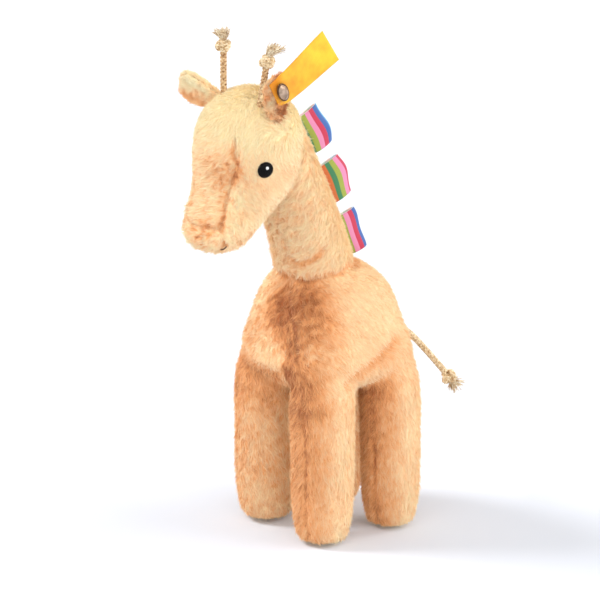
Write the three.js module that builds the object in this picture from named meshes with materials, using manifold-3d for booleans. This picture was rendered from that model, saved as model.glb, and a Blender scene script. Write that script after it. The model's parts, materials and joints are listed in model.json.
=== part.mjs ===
// A small stuffed giraffe that a baby can grasp: plush skins over fibre filling,
// horns and tail of braided cord, a mane of folded ribbon loops and a riveted ear tag.
// Millimetres and degrees, +Z up. The toy faces -Y, so its left side is +X.
import * as THREE from 'three';
import { mergeVertices } from 'three/addons/utils/BufferGeometryUtils.js';
import Module from 'manifold-3d';

const wasm = await Module();
wasm.setup();

// Gaps and cloth
const CLEARANCE = 0.3; // between pieces that touch
const PLUSH = 2.4; // plush cloth with its pressed pile
const SOLE_CUT = 0.5; // depth of the flat that each foot stands on

// Legs
const FOOT_ACROSS = 46.6; // middle of a left foot to middle of a right foot
const FOOT_ALONG = 42.6; // middle of a front foot to middle of a rear foot
const LEG_LENGTH = 80; // floor to the arch between the legs
const FRONT_LEG_WIDTH = 32;
const REAR_LEG_WIDTH = 30.4;
const HIP_RISE = 32; // how far a leg's top runs up the side of the body
const HIP_INSET = 4; // how far a leg's top leans towards the middle
const LEG_SWING = 8;

// Body
const TORSO_WIDTH = 76;
const TORSO_LENGTH = 80;
const TORSO_HEIGHT = 69;
const BELLY_SAG = 6; // belly below the arches between the legs
const TORSO_FORWARD = 2;

// Neck
const NECK_WIDTH = 37;
const NECK_LENGTH = 39;
const NECK_HEIGHT = 113;
const NECK_SEAT = 23; // how far the neck's form starts below the top of the body
const NECK_FORWARD = 4; // middle of the neck's foot in front of the origin
const NECK_REACH = 42; // how far the neck leans forward
const NECK_BEND = 8;
const NECK_PIVOT_SINK = 30; // below the top of the body

// Head
const HEAD_WIDTH = 53;
const HEAD_LENGTH = 53;
const HEAD_HEIGHT = 80;
const HEAD_RISE = 7; // crown above the top of the neck's form
const HEAD_FORWARD = 22.5; // crown's middle in front of the neck's middle
const MUZZLE_REACH = 21; // muzzle's middle in front of the crown's middle
const HEAD_TURN = 8; // towards the toy's left
const HEAD_NOD = 8;

// Ears
const EAR_LENGTH = 29;
const EAR_WIDTH = 15.5;
const EAR_THICKNESS = 3;
const EAR_LINING = 1.2;
const EAR_CUP = 2.6; // how far the rims stand in front of the middle
const EAR_ROOT_DROP = 12.5; // below the crown
const RIGHT_EAR_ACROSS = 18.5; // middle of the head to the ear's root
const RIGHT_EAR_BACK = 2.2; // behind the crown's middle
const LEFT_EAR_ACROSS = 20;
const LEFT_EAR_BACK = 0.5;
const RIGHT_EAR_LIFT = 14; // from level
const RIGHT_EAR_FORWARD = 6; // from straight out to the side
const LEFT_EAR_LIFT = 85;
const EAR_FLOP = 20;

// Horns, tail and their cord
const CORD = 3.6;
const HORN_ACROSS = 26; // one horn's foot to the other's
const HORN_FORWARD = 3.3; // in front of the crown's middle
const RIGHT_HORN_LENGTH = 21; // crown to knot
const LEFT_HORN_LENGTH = 18.5;
const LEFT_HORN_LEAN = 5; // outwards
const LEFT_HORN_BACK = 7;
const HORN_SWING = 15;
const KNOT_WIDTH = 7.6;
const KNOT_HEIGHT = 6.4;
const FRAY_WIDTH = 8;
const FRAY_LENGTH = 6.5;
const TAIL_HEIGHT = 96.5;
const TAIL_SWING = 15;

// Eyes and mouth
const EYE_WIDTH = 8;
const EYE_BULGE = 1.6;
const EYE_HEIGHT = 45.6; // above the bottom of the muzzle
const EYE_TURN = 65; // from straight ahead to the side
const GLINT_WIDTH = 2;
const MOUTH_HEIGHT = 5; // above the bottom of the muzzle
const MOUTH_TURN = 50; // from straight ahead to the side
const MOUTH_SWEEP = 10;
const THREAD = 0.9;

// Mane
const LOOP_SPACING = 28.5; // from loop to loop, up the neck
const LOOP_START = 29; // lowest loop's middle above the neck's foot
const RIBBON_WIDTH = 23;
const RIBBON_THICKNESS = 0.9;
const LOOP_DEPTHS = [12.5, 15.5, 15.5]; // neck to each outer fold, from the lowest
const LOOP_GAP = 8; // across the outside of the loop at its widest
const LOOP_FLOP = 15;

// Ear tag and its rivet
const TAG_LENGTH = 42;
const TAG_WIDTH = 18;
const TAG_THICKNESS = 1;
const TAG_END = 6; // rivet to the near end
const TAG_RISE = 26; // the tag's slope, back and up
const TAG_TWIST = 20; // from the rivet to the far end
const TAG_SWING = 12;
const RIVET_WIDTH = 8;
const RIVET_DOME = 2.2;
const SHANK = 2.4;
const WASHER_WIDTH = 7;
const WASHER_THICKNESS = 0.8;
const RIVET_ALONG_EAR = 16.5; // ear's root to the rivet
const FLARE = 1; // how far the shank's end spreads over the washer

// Facets of the forms
const OUTER_SIDES = 24;
const OUTER_RINGS = 14;
const INNER_SIDES = 14;
const INNER_RINGS = 9;
const CORD_SIDES = 8;
const SWEEP_STEPS = 4;

// Profiles, from bottom to top. Each row is the share of the height, the share of the
// forward reach, and the shares of the half width and half length.
const TORSO_PROFILE = [
  [0, 0.7, 0, 0],
  [0.025, 0.7, 0.46, 0.46],
  [0.08, 0.7, 0.76, 0.76],
  [0.16, 0.7, 0.93, 0.93],
  [0.25, 0.7, 1, 1],
  [0.35, 0.7, 0.975, 0.965],
  [0.45, 0.8, 0.91, 0.91],
  [0.55, 0.9, 0.855, 0.865],
  [0.65, 0.9, 0.795, 0.81],
  [0.75, 1, 0.725, 0.735],
  [0.85, 1.4, 0.61, 0.6],
  [0.94, 1.8, 0.4, 0.38],
  [1, 1.8, 0, 0],
];
const LEG_PROFILE = [
  [0, 0, 0, 0],
  [0.012, 0, 0.5, 0.5],
  [0.03, 0, 0.74, 0.74],
  [0.065, 0, 0.84, 0.84],
  [0.13, 0, 0.93, 0.93],
  [0.24, 0, 0.98, 0.98],
  [0.42, 0, 1, 1],
  [0.58, 0.05, 1.03, 1.03],
  [0.72, 0.2, 1.02, 1.02],
  [0.85, 0.6, 0.86, 0.86],
  [0.95, 0.9, 0.5, 0.5],
  [1, 1, 0, 0],
];
const NECK_PROFILE = [
  [0, -0.02, 1.24, 1.26],
  [0.12, 0.085, 1.14, 1.11],
  [0.22, 0.15, 1.07, 1.05],
  [0.35, 0.262, 1.03, 1.02],
  [0.51, 0.43, 0.99, 0.99],
  [0.68, 0.61, 0.95, 0.95],
  [0.81, 0.762, 0.92, 0.92],
  [0.9, 0.88, 0.84, 0.85],
  [0.965, 0.95, 0.6, 0.62],
  [1, 1, 0, 0],
];
const HEAD_PROFILE = [
  [0, 1, 0, 0],
  [0.02, 1, 0.36, 0.36],
  [0.06, 0.97, 0.53, 0.53],
  [0.12, 0.93, 0.66, 0.66],
  [0.18, 0.8, 0.74, 0.73],
  [0.25, 0.58, 0.8, 0.79],
  [0.35, 0.24, 0.89, 0.89],
  [0.47, 0.05, 0.97, 0.97],
  [0.6, 0, 1, 1],
  [0.74, -0.08, 0.98, 0.97],
  [0.84, -0.12, 0.87, 0.85],
  [0.92, -0.13, 0.66, 0.65],
  [0.975, -0.13, 0.38, 0.37],
  [1, -0.13, 0, 0],
];
const EAR_PROFILE = [
  [0, 0.42, 0.8],
  [0.12, 0.56, 0.95],
  [0.35, 0.84, 1],
  [0.62, 1, 1],
  [0.83, 0.9, 0.9],
  [0.95, 0.55, 0.6],
  [1, 0, 0],
];

const PLUSH_COLOUR = 0xf0b885;
const FILLING_COLOUR = 0xf4f1ea;
const CORD_COLOUR = 0xcdb183;
const FRAY_COLOUR = 0xe9dcbc;
const BLACK_THREAD = 0x101012;
const WHITE_THREAD = 0xf6f6f4;
const TAG_COLOUR = 0xf6b521;
const METAL_COLOUR = 0xa98a5c;
const RIBBON_COLOUR = 0xd8537f;

/** A matt or metallic material with a plain colour. */
function finish(color, roughness, metalness = 0) {
  return new THREE.MeshStandardMaterial({ color, roughness, metalness });
}

const plush = () => finish(PLUSH_COLOUR, 0.95);
const filling = () => finish(FILLING_COLOUR, 1);
const cord = () => finish(CORD_COLOUR, 0.9);
const fray = () => finish(FRAY_COLOUR, 0.95);
const metal = () => finish(METAL_COLOUR, 0.35, 1);

const radians = THREE.MathUtils.degToRad;
const X = new THREE.Vector3(1, 0, 0);
const Y = new THREE.Vector3(0, 1, 0);
const Z = new THREE.Vector3(0, 0, 1);

/** A vertex list that shares its corners, with position alone. */
function bare(geometry) {
  const copy = geometry.clone();
  copy.deleteAttribute('normal');
  copy.deleteAttribute('uv');
  return mergeVertices(copy, 1e-4);
}

/** The closed mesh as a solid that can be joined and cut. */
function solidOf(geometry) {
  const merged = bare(geometry);
  return new wasm.Manifold(new wasm.Mesh({
    numProp: 3,
    vertProperties: new Float32Array(merged.attributes.position.array),
    triVerts: new Uint32Array(merged.index.array),
  }));
}

/** The solid's surface as a geometry. */
function geometryOf(solid) {
  const mesh = solid.getMesh();
  const geometry = new THREE.BufferGeometry();
  geometry.setAttribute('position', new THREE.BufferAttribute(mesh.vertProperties, 3));
  geometry.setIndex(new THREE.BufferAttribute(mesh.triVerts, 1));
  geometry.computeVertexNormals();
  return geometry;
}

/** Rings of points joined into one closed body. An end row of no width is a point. */
function loft(rings) {
  const positions = rings.flat().flatMap((point) => point.toArray());
  const indices = [];
  const starts = [];
  let start = 0;
  for (const ring of rings) {
    starts.push(start);
    start += ring.length;
  }
  for (let row = 0; row + 1 < rings.length; row += 1) {
    const low = rings[row];
    const high = rings[row + 1];
    const sides = Math.max(low.length, high.length);
    for (let side = 0; side < sides; side += 1) {
      const next = (side + 1) % sides;
      const a = starts[row] + (low.length > 1 ? side : 0);
      const b = starts[row] + (low.length > 1 ? next : 0);
      const c = starts[row + 1] + (high.length > 1 ? next : 0);
      const d = starts[row + 1] + (high.length > 1 ? side : 0);
      if (low.length > 1) indices.push(a, b, c);
      if (high.length > 1) indices.push(a, c, d);
    }
  }
  capEnd(indices, starts[0], rings[0].length, false);
  capEnd(indices, starts[rings.length - 1], rings[rings.length - 1].length, true);
  const geometry = new THREE.BufferGeometry();
  geometry.setAttribute('position', new THREE.Float32BufferAttribute(positions, 3));
  geometry.setIndex(indices);
  geometry.computeVertexNormals();
  return geometry;
}

/** Closes an open end ring with a fan. */
function capEnd(indices, start, count, top) {
  for (let side = 1; side + 1 < count; side += 1) {
    const pair = top ? [side, side + 1] : [side + 1, side];
    indices.push(start, start + pair[0], start + pair[1]);
  }
}

/** A smooth row between a profile's rows, at a share of its length from 0 to 1. */
function profileAt(profile, share) {
  const at = Math.min(Math.max(share, 0), 1) * (profile.length - 1);
  const index = Math.min(Math.floor(at), profile.length - 2);
  const step = at - index;
  const row = (offset) => profile[Math.min(Math.max(index + offset, 0), profile.length - 1)];
  return profile[0].map((_, column) => {
    const [before, low, high, after] = [-1, 0, 1, 2].map((offset) => row(offset)[column]);
    const slopeLow = (high - before) / 2;
    const slopeHigh = (after - low) / 2;
    const bend = 3 * (high - low) - 2 * slopeLow - slopeHigh;
    const turn = 2 * (low - high) + slopeLow + slopeHigh;
    return low + step * (slopeLow + step * (bend + step * turn));
  });
}

/** The profile's row at a share of the height. */
function rowAtHeight(profile, height) {
  let low = 0;
  let high = 1;
  for (let pass = 0; pass < 30; pass += 1) {
    const middle = (low + high) / 2;
    if (profileAt(profile, middle)[0] < height) low = middle;
    else high = middle;
  }
  return profileAt(profile, low);
}

/**
 * A stuffed form's section at one row: its middle, half width and half length.
 * A form has a profile, base, height, width, length, lean and corner.
 */
function sectionOf(form, row) {
  const [rise, lean, wide, long] = row;
  return {
    middle: new THREE.Vector3(
      form.base.x + form.lean.x * lean,
      form.base.y + form.lean.y * lean,
      form.base.z + form.height * rise,
    ),
    across: form.width / 2 * wide,
    along: form.length / 2 * long,
  };
}

/** A point on a section's rounded outline. Angle 0 is +X and 90 is +Y. */
function outlinePoint(section, angle, corner) {
  const round = (value) => Math.sign(value) * Math.abs(value) ** (2 / corner);
  return new THREE.Vector3(
    section.middle.x + section.across * round(Math.cos(angle)),
    section.middle.y + section.along * round(Math.sin(angle)),
    section.middle.z,
  );
}

/** The closed surface of a stuffed form. */
function stuffed(form, sides, rings) {
  const rows = [];
  for (let ring = 0; ring <= rings; ring += 1) {
    const section = sectionOf(form, profileAt(form.profile, ring / rings));
    if (section.across < 1e-6) {
      rows.push([section.middle]);
      continue;
    }
    const points = [];
    for (let side = 0; side < sides; side += 1) {
      points.push(outlinePoint(section, side / sides * 2 * Math.PI, form.corner));
    }
    rows.push(points);
  }
  return loft(rows);
}

/** The surface moved in by a depth along its normals, or out by a negative one. */
function inset(geometry, depth) {
  const moved = bare(geometry);
  moved.computeVertexNormals();
  const point = new THREE.Vector3();
  const normal = new THREE.Vector3();
  const { position, normal: normals } = moved.attributes;
  for (let index = 0; index < position.count; index += 1) {
    normal.fromBufferAttribute(normals, index);
    point.fromBufferAttribute(position, index).addScaledVector(normal, -depth);
    position.setXYZ(index, point.x, point.y, point.z);
  }
  moved.computeVertexNormals();
  return moved;
}

/** A turn about an axis through a pivot. */
function turnAbout(pivot, axis, degrees) {
  const away = new THREE.Matrix4().makeTranslation(-pivot.x, -pivot.y, -pivot.z);
  const turn = new THREE.Matrix4().makeRotationAxis(axis, radians(degrees));
  const back = new THREE.Matrix4().makeTranslation(pivot.x, pivot.y, pivot.z);
  return back.multiply(turn).multiply(away);
}

/** A neighbour's surface at each stand of a joint, as the joint's far side sees it. */
function standsOf(neighbour, joint) {
  const stands = [];
  for (let step = 0; step <= SWEEP_STEPS; step += 1) {
    const degrees = THREE.MathUtils.lerp(-joint.high, -joint.low, step / SWEEP_STEPS);
    stands.push(neighbour.clone().applyMatrix4(turnAbout(joint.pivot, joint.axis, degrees)));
  }
  return stands;
}

/**
 * The solid with room for a neighbour, wherever the joints between them stand. The joints
 * run from the solid's own to the neighbour's.
 */
function clearOf(solid, neighbour, ...between) {
  const stands = between.reduceRight(
    (seen, joint) => seen.flatMap((stand) => standsOf(stand, joint)),
    [inset(neighbour, -CLEARANCE)],
  );
  return stands.reduce((left, stand) => left.subtract(solidOf(stand)), solid);
}

/** The largest of a solid's separate bodies. */
function largestOf(solid) {
  const bodies = solid.decompose();
  return bodies.reduce((best, body) => (body.volume() > best.volume() ? body : best));
}

/** A named piece, added to its group. */
function addPiece(group, name, geometry, material) {
  const piece = new THREE.Mesh(geometry, material);
  piece.name = name;
  group.add(piece);
  return piece;
}

/** A cord along a curve, with its end faces square to it. */
function cordAlong(curve, diameter, steps, sides) {
  const section = new THREE.Shape();
  for (let side = 0; side < sides; side += 1) {
    const angle = side / sides * 2 * Math.PI;
    const [x, y] = [Math.cos(angle) * diameter / 2, Math.sin(angle) * diameter / 2];
    if (side === 0) section.moveTo(x, y);
    else section.lineTo(x, y);
  }
  section.closePath();
  return new THREE.ExtrudeGeometry(section, {
    steps, extrudePath: curve, bevelEnabled: false, curveSegments: sides,
  });
}

/** A turned piece. The profile is [radius, height] pairs that start and end on the axis. */
function turned(points, sides) {
  return new THREE.LatheGeometry(points.map(([r, z]) => new THREE.Vector2(r, z)), sides)
    .rotateX(Math.PI / 2);
}

/** Places a shape made along +Z so that its base lies at a point and it points along a direction. */
function aimed(geometry, origin, direction) {
  const turn = new THREE.Quaternion()
    .setFromUnitVectors(Z, direction.clone().normalize());
  return geometry.applyQuaternion(turn).translate(origin.x, origin.y, origin.z);
}

/** An overhand knot pulled tight: two fat turns of the cord, one above the other. */
function knotShape() {
  const radius = KNOT_WIDTH / 2;
  const waist = radius * 0.82;
  return turned([
    [0, 0],
    [radius * 0.55, 0],
    [radius * 0.93, KNOT_HEIGHT * 0.14],
    [radius, KNOT_HEIGHT * 0.28],
    [waist, KNOT_HEIGHT * 0.5],
    [radius * 0.97, KNOT_HEIGHT * 0.7],
    [radius * 0.85, KNOT_HEIGHT * 0.88],
    [radius * 0.45, KNOT_HEIGHT],
    [0, KNOT_HEIGHT],
  ], 12);
}

/** The cord's opened strands above the knot, as a fluted tuft. */
function frayShape() {
  const flutes = 7;
  const sides = flutes * 2;
  const rows = [[0.22, 0], [0.3, 0.2], [0.36, 0.55], [0.5, 1]].map(([share, rise]) => {
    const ring = [];
    for (let side = 0; side < sides; side += 1) {
      const angle = side / sides * 2 * Math.PI;
      const flute = side % 2 === 0 ? 1 : 1 - 0.4 * rise;
      const radius = FRAY_WIDTH * share * flute;
      ring.push(new THREE.Vector3(
        Math.cos(angle) * radius,
        Math.sin(angle) * radius,
        FRAY_LENGTH * rise,
      ));
    }
    return ring;
  });
  return loft(rows);
}

/** The knot and the fray beyond the end of a cord. */
function addCordEnd(group, name, end, direction) {
  const out = direction.clone().normalize();
  const knotFoot = end.clone().addScaledVector(out, CLEARANCE);
  const frayFoot = knotFoot.clone().addScaledVector(out, KNOT_HEIGHT + CLEARANCE);
  addPiece(group, `${name}_knot`, aimed(knotShape(), knotFoot, out), cord());
  addPiece(group, `${name}_fray`, aimed(frayShape(), frayFoot, out), fray());
}

// The stuffed forms
const torsoForm = {
  profile: TORSO_PROFILE,
  base: new THREE.Vector3(0, 0, LEG_LENGTH - BELLY_SAG),
  height: TORSO_HEIGHT,
  width: TORSO_WIDTH,
  length: TORSO_LENGTH,
  lean: new THREE.Vector2(0, -TORSO_FORWARD),
  corner: 2.9,
};
const torsoTop = torsoForm.base.z + TORSO_HEIGHT;
const neckForm = {
  profile: NECK_PROFILE,
  base: new THREE.Vector3(0, -NECK_FORWARD, torsoTop - NECK_SEAT),
  height: NECK_HEIGHT,
  width: NECK_WIDTH,
  length: NECK_LENGTH,
  lean: new THREE.Vector2(0, -NECK_REACH),
  corner: 2,
};
const neckTop = neckForm.base.z + NECK_HEIGHT;
const headBase = neckTop + HEAD_RISE - HEAD_HEIGHT;
const headForm = {
  profile: HEAD_PROFILE,
  base: new THREE.Vector3(0, -HEAD_FORWARD, headBase),
  height: HEAD_HEIGHT,
  width: HEAD_WIDTH,
  length: HEAD_LENGTH,
  lean: new THREE.Vector2(0, -MUZZLE_REACH),
  corner: 2.15,
};

/** A leg's form. Side is 1 for the left and -1 for the right, end -1 for the front. */
function legForm(side, end) {
  const width = end < 0 ? FRONT_LEG_WIDTH : REAR_LEG_WIDTH;
  return {
    profile: LEG_PROFILE,
    base: new THREE.Vector3(side * FOOT_ACROSS / 2, end * FOOT_ALONG / 2, -SOLE_CUT),
    height: LEG_LENGTH + HIP_RISE + SOLE_CUT,
    width,
    length: width,
    lean: new THREE.Vector2(-side * HIP_INSET, -end * HIP_INSET - TORSO_FORWARD / 2),
    corner: 2,
  };
}

// The head's own frame stands on the neck's middle line, at half the head's height
const neckShare = (headBase + HEAD_HEIGHT / 2 - neckForm.base.z) / NECK_HEIGHT;
const neckMiddle = sectionOf(neckForm, rowAtHeight(NECK_PROFILE, neckShare)).middle;
const headOrigin = new THREE.Vector3(0, neckMiddle.y, 0);
const headFrame = new THREE.Matrix4()
  .makeRotationZ(radians(HEAD_TURN))
  .setPosition(headOrigin);
const headFrameBack = headFrame.clone().invert();

/** The joints of the toy, with their places in the frame of its feet. */
const joints = [];

/** Notes a joint between two bodies, from the frame that it was worked out in. */
function addJoint(name, parent, child, joint, frame = new THREE.Matrix4()) {
  joints.push({
    name,
    parent,
    child,
    pivot: joint.pivot.clone().applyMatrix4(frame),
    axis: joint.axis.clone().transformDirection(frame),
    low: joint.low,
    high: joint.high,
  });
}

/** A joint that turns as far one way as the other. */
function evenJoint(pivot, axis, degrees) {
  return { pivot, axis, low: -degrees, high: degrees };
}

const neckJoint = evenJoint(
  new THREE.Vector3(0, -NECK_FORWARD * 2, torsoTop - NECK_PIVOT_SINK),
  X,
  NECK_BEND,
);
const headMiddle = new THREE.Vector3(0, -HEAD_FORWARD, headBase + HEAD_HEIGHT * 0.57);
const nodAxis = X.clone().transformDirection(headFrame);
const headJoint = evenJoint(headMiddle.clone().applyMatrix4(headFrame), nodAxis, HEAD_NOD);
addJoint('neck_bend', 'torso', 'neck', neckJoint);
addJoint('head_nod', 'neck', 'head', headJoint);

const toy = new THREE.Group();
const body = new THREE.Group();
const headGroup = new THREE.Group();
headGroup.position.copy(headOrigin);
headGroup.rotation.z = radians(HEAD_TURN);
body.add(headGroup);
toy.add(body);

/** A form's outer surface, and the inner surface of its skin at a coarser step. */
function surfacesOf(form) {
  return {
    outer: stuffed(form, OUTER_SIDES, OUTER_RINGS),
    inner: stuffed(form, INNER_SIDES, INNER_RINGS),
  };
}

/** A form's skin, hollow inside. */
function skinOf(surfaces) {
  return solidOf(surfaces.outer).subtract(solidOf(inset(surfaces.inner, PLUSH)));
}

/** A form's filling, just clear of its skin. */
function fillingOf(surfaces) {
  return solidOf(inset(surfaces.inner, PLUSH + CLEARANCE));
}

/** A block with its top at a height, to cut forms flat. */
function blockBelow(height) {
  const size = 1000;
  return solidOf(new THREE.BoxGeometry(size, size, size).translate(0, 0, height - size / 2));
}

const torso = surfacesOf(torsoForm);
const neck = surfacesOf(neckForm);
const head = surfacesOf(headForm);
const headInBody = head.outer.clone().applyMatrix4(headFrame);
const neckBore = inset(neck.inner, PLUSH);

/** The body's skin, open where the filling runs on into the neck, and its filling. */
function addTorso() {
  const skin = skinOf(torso).subtract(solidOf(neckBore));
  addPiece(body, 'torso_skin', geometryOf(skin), plush());
  addPiece(body, 'torso_filling', geometryOf(fillingOf(torso)), filling());
}

/** The neck's skin and filling, cut to the body below and the head above. */
function addNeck() {
  const fitted = (solid) => {
    const onTorso = clearOf(solid, torso.outer, neckJoint);
    return largestOf(clearOf(onTorso, headInBody, headJoint));
  };
  addPiece(body, 'neck_skin', geometryOf(fitted(skinOf(neck))), plush());
  addPiece(body, 'neck_filling', geometryOf(fitted(fillingOf(neck))), filling());
}

/** The head's skin, open towards the neck, and its filling. */
function addHead() {
  const bore = neckBore.clone().applyMatrix4(headFrameBack);
  const skin = largestOf(skinOf(head).subtract(solidOf(bore)));
  addPiece(headGroup, 'head_skin', geometryOf(skin), plush());
  addPiece(headGroup, 'head_filling', geometryOf(fillingOf(head)), filling());
}

/** One leg's skin and filling, cut to the body and flat on the floor. */
function addLeg(name, side, end) {
  const form = legForm(side, end);
  const surfaces = surfacesOf(form);
  const hip = sectionOf(form, rowAtHeight(LEG_PROFILE, LEG_LENGTH / form.height)).middle;
  const joint = evenJoint(hip, X, LEG_SWING);
  addJoint(`leg_${name}_swing`, 'torso', `leg_${name}`, joint);
  const floor = blockBelow(0);
  const soleInside = blockBelow(PLUSH);
  const skin = solidOf(surfaces.outer)
    .subtract(solidOf(inset(surfaces.inner, PLUSH)).subtract(soleInside))
    .subtract(floor);
  const core = fillingOf(surfaces).subtract(blockBelow(PLUSH + CLEARANCE));
  const fitted = (solid) => largestOf(clearOf(solid, torso.outer, joint));
  addPiece(body, `leg_${name}_skin`, geometryOf(fitted(skin)), plush());
  addPiece(body, `leg_${name}_filling`, geometryOf(fitted(core)), filling());
}

/**
 * A flattened leaf that points along +Z with its hollow side towards -Y. Each row of its
 * profile is the share of the length, and the shares of the width and thickness.
 */
function earLeaf(length, width, thickness, setback) {
  const sides = 12;
  const rings = 9;
  const rows = [];
  for (let ring = 0; ring <= rings; ring += 1) {
    const [rise, wide, thick] = profileAt(EAR_PROFILE, ring / rings);
    if (wide < 1e-6) {
      rows.push([new THREE.Vector3(0, setback, length)]);
      continue;
    }
    const points = [];
    for (let side = 0; side < sides; side += 1) {
      const angle = side / sides * 2 * Math.PI;
      const across = width / 2 * wide * Math.cos(angle);
      const cup = EAR_CUP * Math.min(rise * 3, 1) * (across / (EAR_WIDTH / 2)) ** 2;
      const depth = thickness / 2 * thick * Math.sin(angle) + setback - cup;
      points.push(new THREE.Vector3(across, depth, length * rise));
    }
    rows.push(points);
  }
  return loft(rows);
}

/** The frame of an ear: Z runs along it from its root, and Y points out of its back. */
function earFrame(across, behind, along, back) {
  const root = new THREE.Vector3(
    across,
    behind - HEAD_FORWARD,
    headBase + HEAD_HEIGHT - EAR_ROOT_DROP,
  );
  const z = along.clone().normalize();
  const y = back.clone().addScaledVector(z, -back.dot(z)).normalize();
  const x = y.clone().cross(z);
  return new THREE.Matrix4().makeBasis(x, y, z).setPosition(root);
}

/**
 * The way that an ear points, from its lift above level and its turn forward.
 * Side is 1 for the left ear and -1 for the right.
 */
function earDirection(side, lift, forward) {
  return new THREE.Vector3(
    side * Math.cos(radians(lift)) * Math.cos(radians(forward)),
    -Math.cos(radians(lift)) * Math.sin(radians(forward)),
    Math.sin(radians(lift)),
  );
}

/** An ear's outer leaf and its lining, and the rivet's bore where it has one. */
function addEar(name, frame, low, high, bore = null) {
  const joint = {
    pivot: new THREE.Vector3().setFromMatrixPosition(frame),
    axis: X.clone().transformDirection(frame),
    low,
    high,
  };
  addJoint(`ear_${name}_flop`, 'head', `ear_${name}`, joint, headFrame);
  const gap = EAR_THICKNESS / 2 + EAR_LINING / 2 + CLEARANCE;
  const back = earLeaf(EAR_LENGTH, EAR_WIDTH, EAR_THICKNESS, 0).applyMatrix4(frame);
  const lining = earLeaf(EAR_LENGTH - PLUSH, EAR_WIDTH - PLUSH, EAR_LINING, -gap)
    .applyMatrix4(frame);
  const fitted = (solid) => {
    const open = bore ? solid.subtract(bore) : solid;
    return geometryOf(largestOf(clearOf(open, head.outer, joint)));
  };
  const liningSolid = solidOf(lining).subtract(solidOf(inset(back, -CLEARANCE)));
  addPiece(headGroup, `ear_${name}_back`, fitted(solidOf(back)), plush());
  addPiece(headGroup, `ear_${name}_lining`, fitted(liningSolid), plush());
}

/** The crown's height above a point of the head's frame. */
function crownAbove(x, y) {
  let low = 0.6;
  let high = 1;
  for (let pass = 0; pass < 30; pass += 1) {
    const middle = (low + high) / 2;
    const section = sectionOf(headForm, profileAt(HEAD_PROFILE, middle));
    const share = Math.hypot(
      (x - section.middle.x) / Math.max(section.across, 1e-6),
      (y - section.middle.y) / Math.max(section.along, 1e-6),
    );
    if (share < 1) low = middle;
    else high = middle;
  }
  return sectionOf(headForm, profileAt(HEAD_PROFILE, low)).middle.z;
}

/** A horn: the cord from the crown to its knot, and its frayed end. */
function addHorn(name, side, length, lean, back) {
  const x = side * HORN_ACROSS / 2;
  const y = -HEAD_FORWARD - HORN_FORWARD;
  const foot = new THREE.Vector3(x, y, crownAbove(x, y));
  const up = new THREE.Vector3(
    side * Math.tan(radians(lean)),
    Math.tan(radians(back)),
    1,
  ).normalize();
  const end = foot.clone().addScaledVector(up, length);
  const sunk = foot.clone().addScaledVector(up, -CORD);
  const joint = evenJoint(foot, X, HORN_SWING);
  addJoint(`horn_${name}_bend`, 'head', `horn_${name}`, joint, headFrame);
  const stub = cordAlong(new THREE.LineCurve3(sunk, end), CORD, 5, CORD_SIDES + 2);
  const fitted = largestOf(clearOf(solidOf(stub), head.outer, joint));
  addPiece(headGroup, `horn_${name}_cord`, geometryOf(fitted), cord());
  addCordEnd(headGroup, `horn_${name}`, end, up);
}

/** A point of the head's surface and the direction out of it. */
function headSurface(height, turn) {
  const section = sectionOf(headForm, rowAtHeight(HEAD_PROFILE, height / HEAD_HEIGHT));
  const angle = radians(turn - 90);
  const step = 0.5;
  const point = outlinePoint(section, angle, headForm.corner);
  const aside = outlinePoint(section, angle + 0.02, headForm.corner);
  const above = sectionOf(headForm, rowAtHeight(HEAD_PROFILE, (height + step) / HEAD_HEIGHT));
  const higher = outlinePoint(above, angle, headForm.corner);
  const out = aside.sub(point).cross(higher.sub(point)).normalize();
  return { point, out };
}

/** A stitched eye and the white stitch in it. */
function addEye(name, side) {
  const { point, out } = headSurface(EYE_HEIGHT, side * EYE_TURN);
  const radius = EYE_WIDTH / 2;
  const dome = turned([
    [0, 0],
    [radius * 0.8, 0],
    [radius, EYE_BULGE * 0.3],
    [radius * 0.9, EYE_BULGE * 0.7],
    [radius * 0.55, EYE_BULGE * 0.95],
    [0, EYE_BULGE],
  ], 16);
  const seat = point.clone().addScaledVector(out, CLEARANCE);
  addPiece(headGroup, `eye_${name}`, aimed(dome, seat, out), finish(BLACK_THREAD, 0.4));
  const spot = turned([
    [0, 0],
    [GLINT_WIDTH / 2, GLINT_WIDTH * 0.05],
    [GLINT_WIDTH / 2, GLINT_WIDTH * 0.175],
    [0, GLINT_WIDTH * 0.3],
  ], 8);
  const up = Z.clone().addScaledVector(out, -out.z).normalize();
  const onEye = seat.clone()
    .addScaledVector(out, EYE_BULGE + CLEARANCE * 0.5)
    .addScaledVector(up, EYE_WIDTH * 0.17);
  addPiece(headGroup, `eye_${name}_glint`, aimed(spot, onEye, out), finish(WHITE_THREAD, 0.6));
}

/** The short dark stitch under the muzzle. */
function addMouth() {
  const points = [-1, -0.5, 0, 0.5, 1].map((share) => {
    const { point, out } = headSurface(MOUTH_HEIGHT, MOUTH_TURN + share * MOUTH_SWEEP);
    return point.addScaledVector(out, THREAD / 2 + CLEARANCE);
  });
  const stitch = cordAlong(new THREE.CatmullRomCurve3(points), THREAD, 6, 6);
  addPiece(headGroup, 'mouth_stitch', stitch, finish(BLACK_THREAD, 0.7));
}

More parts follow.
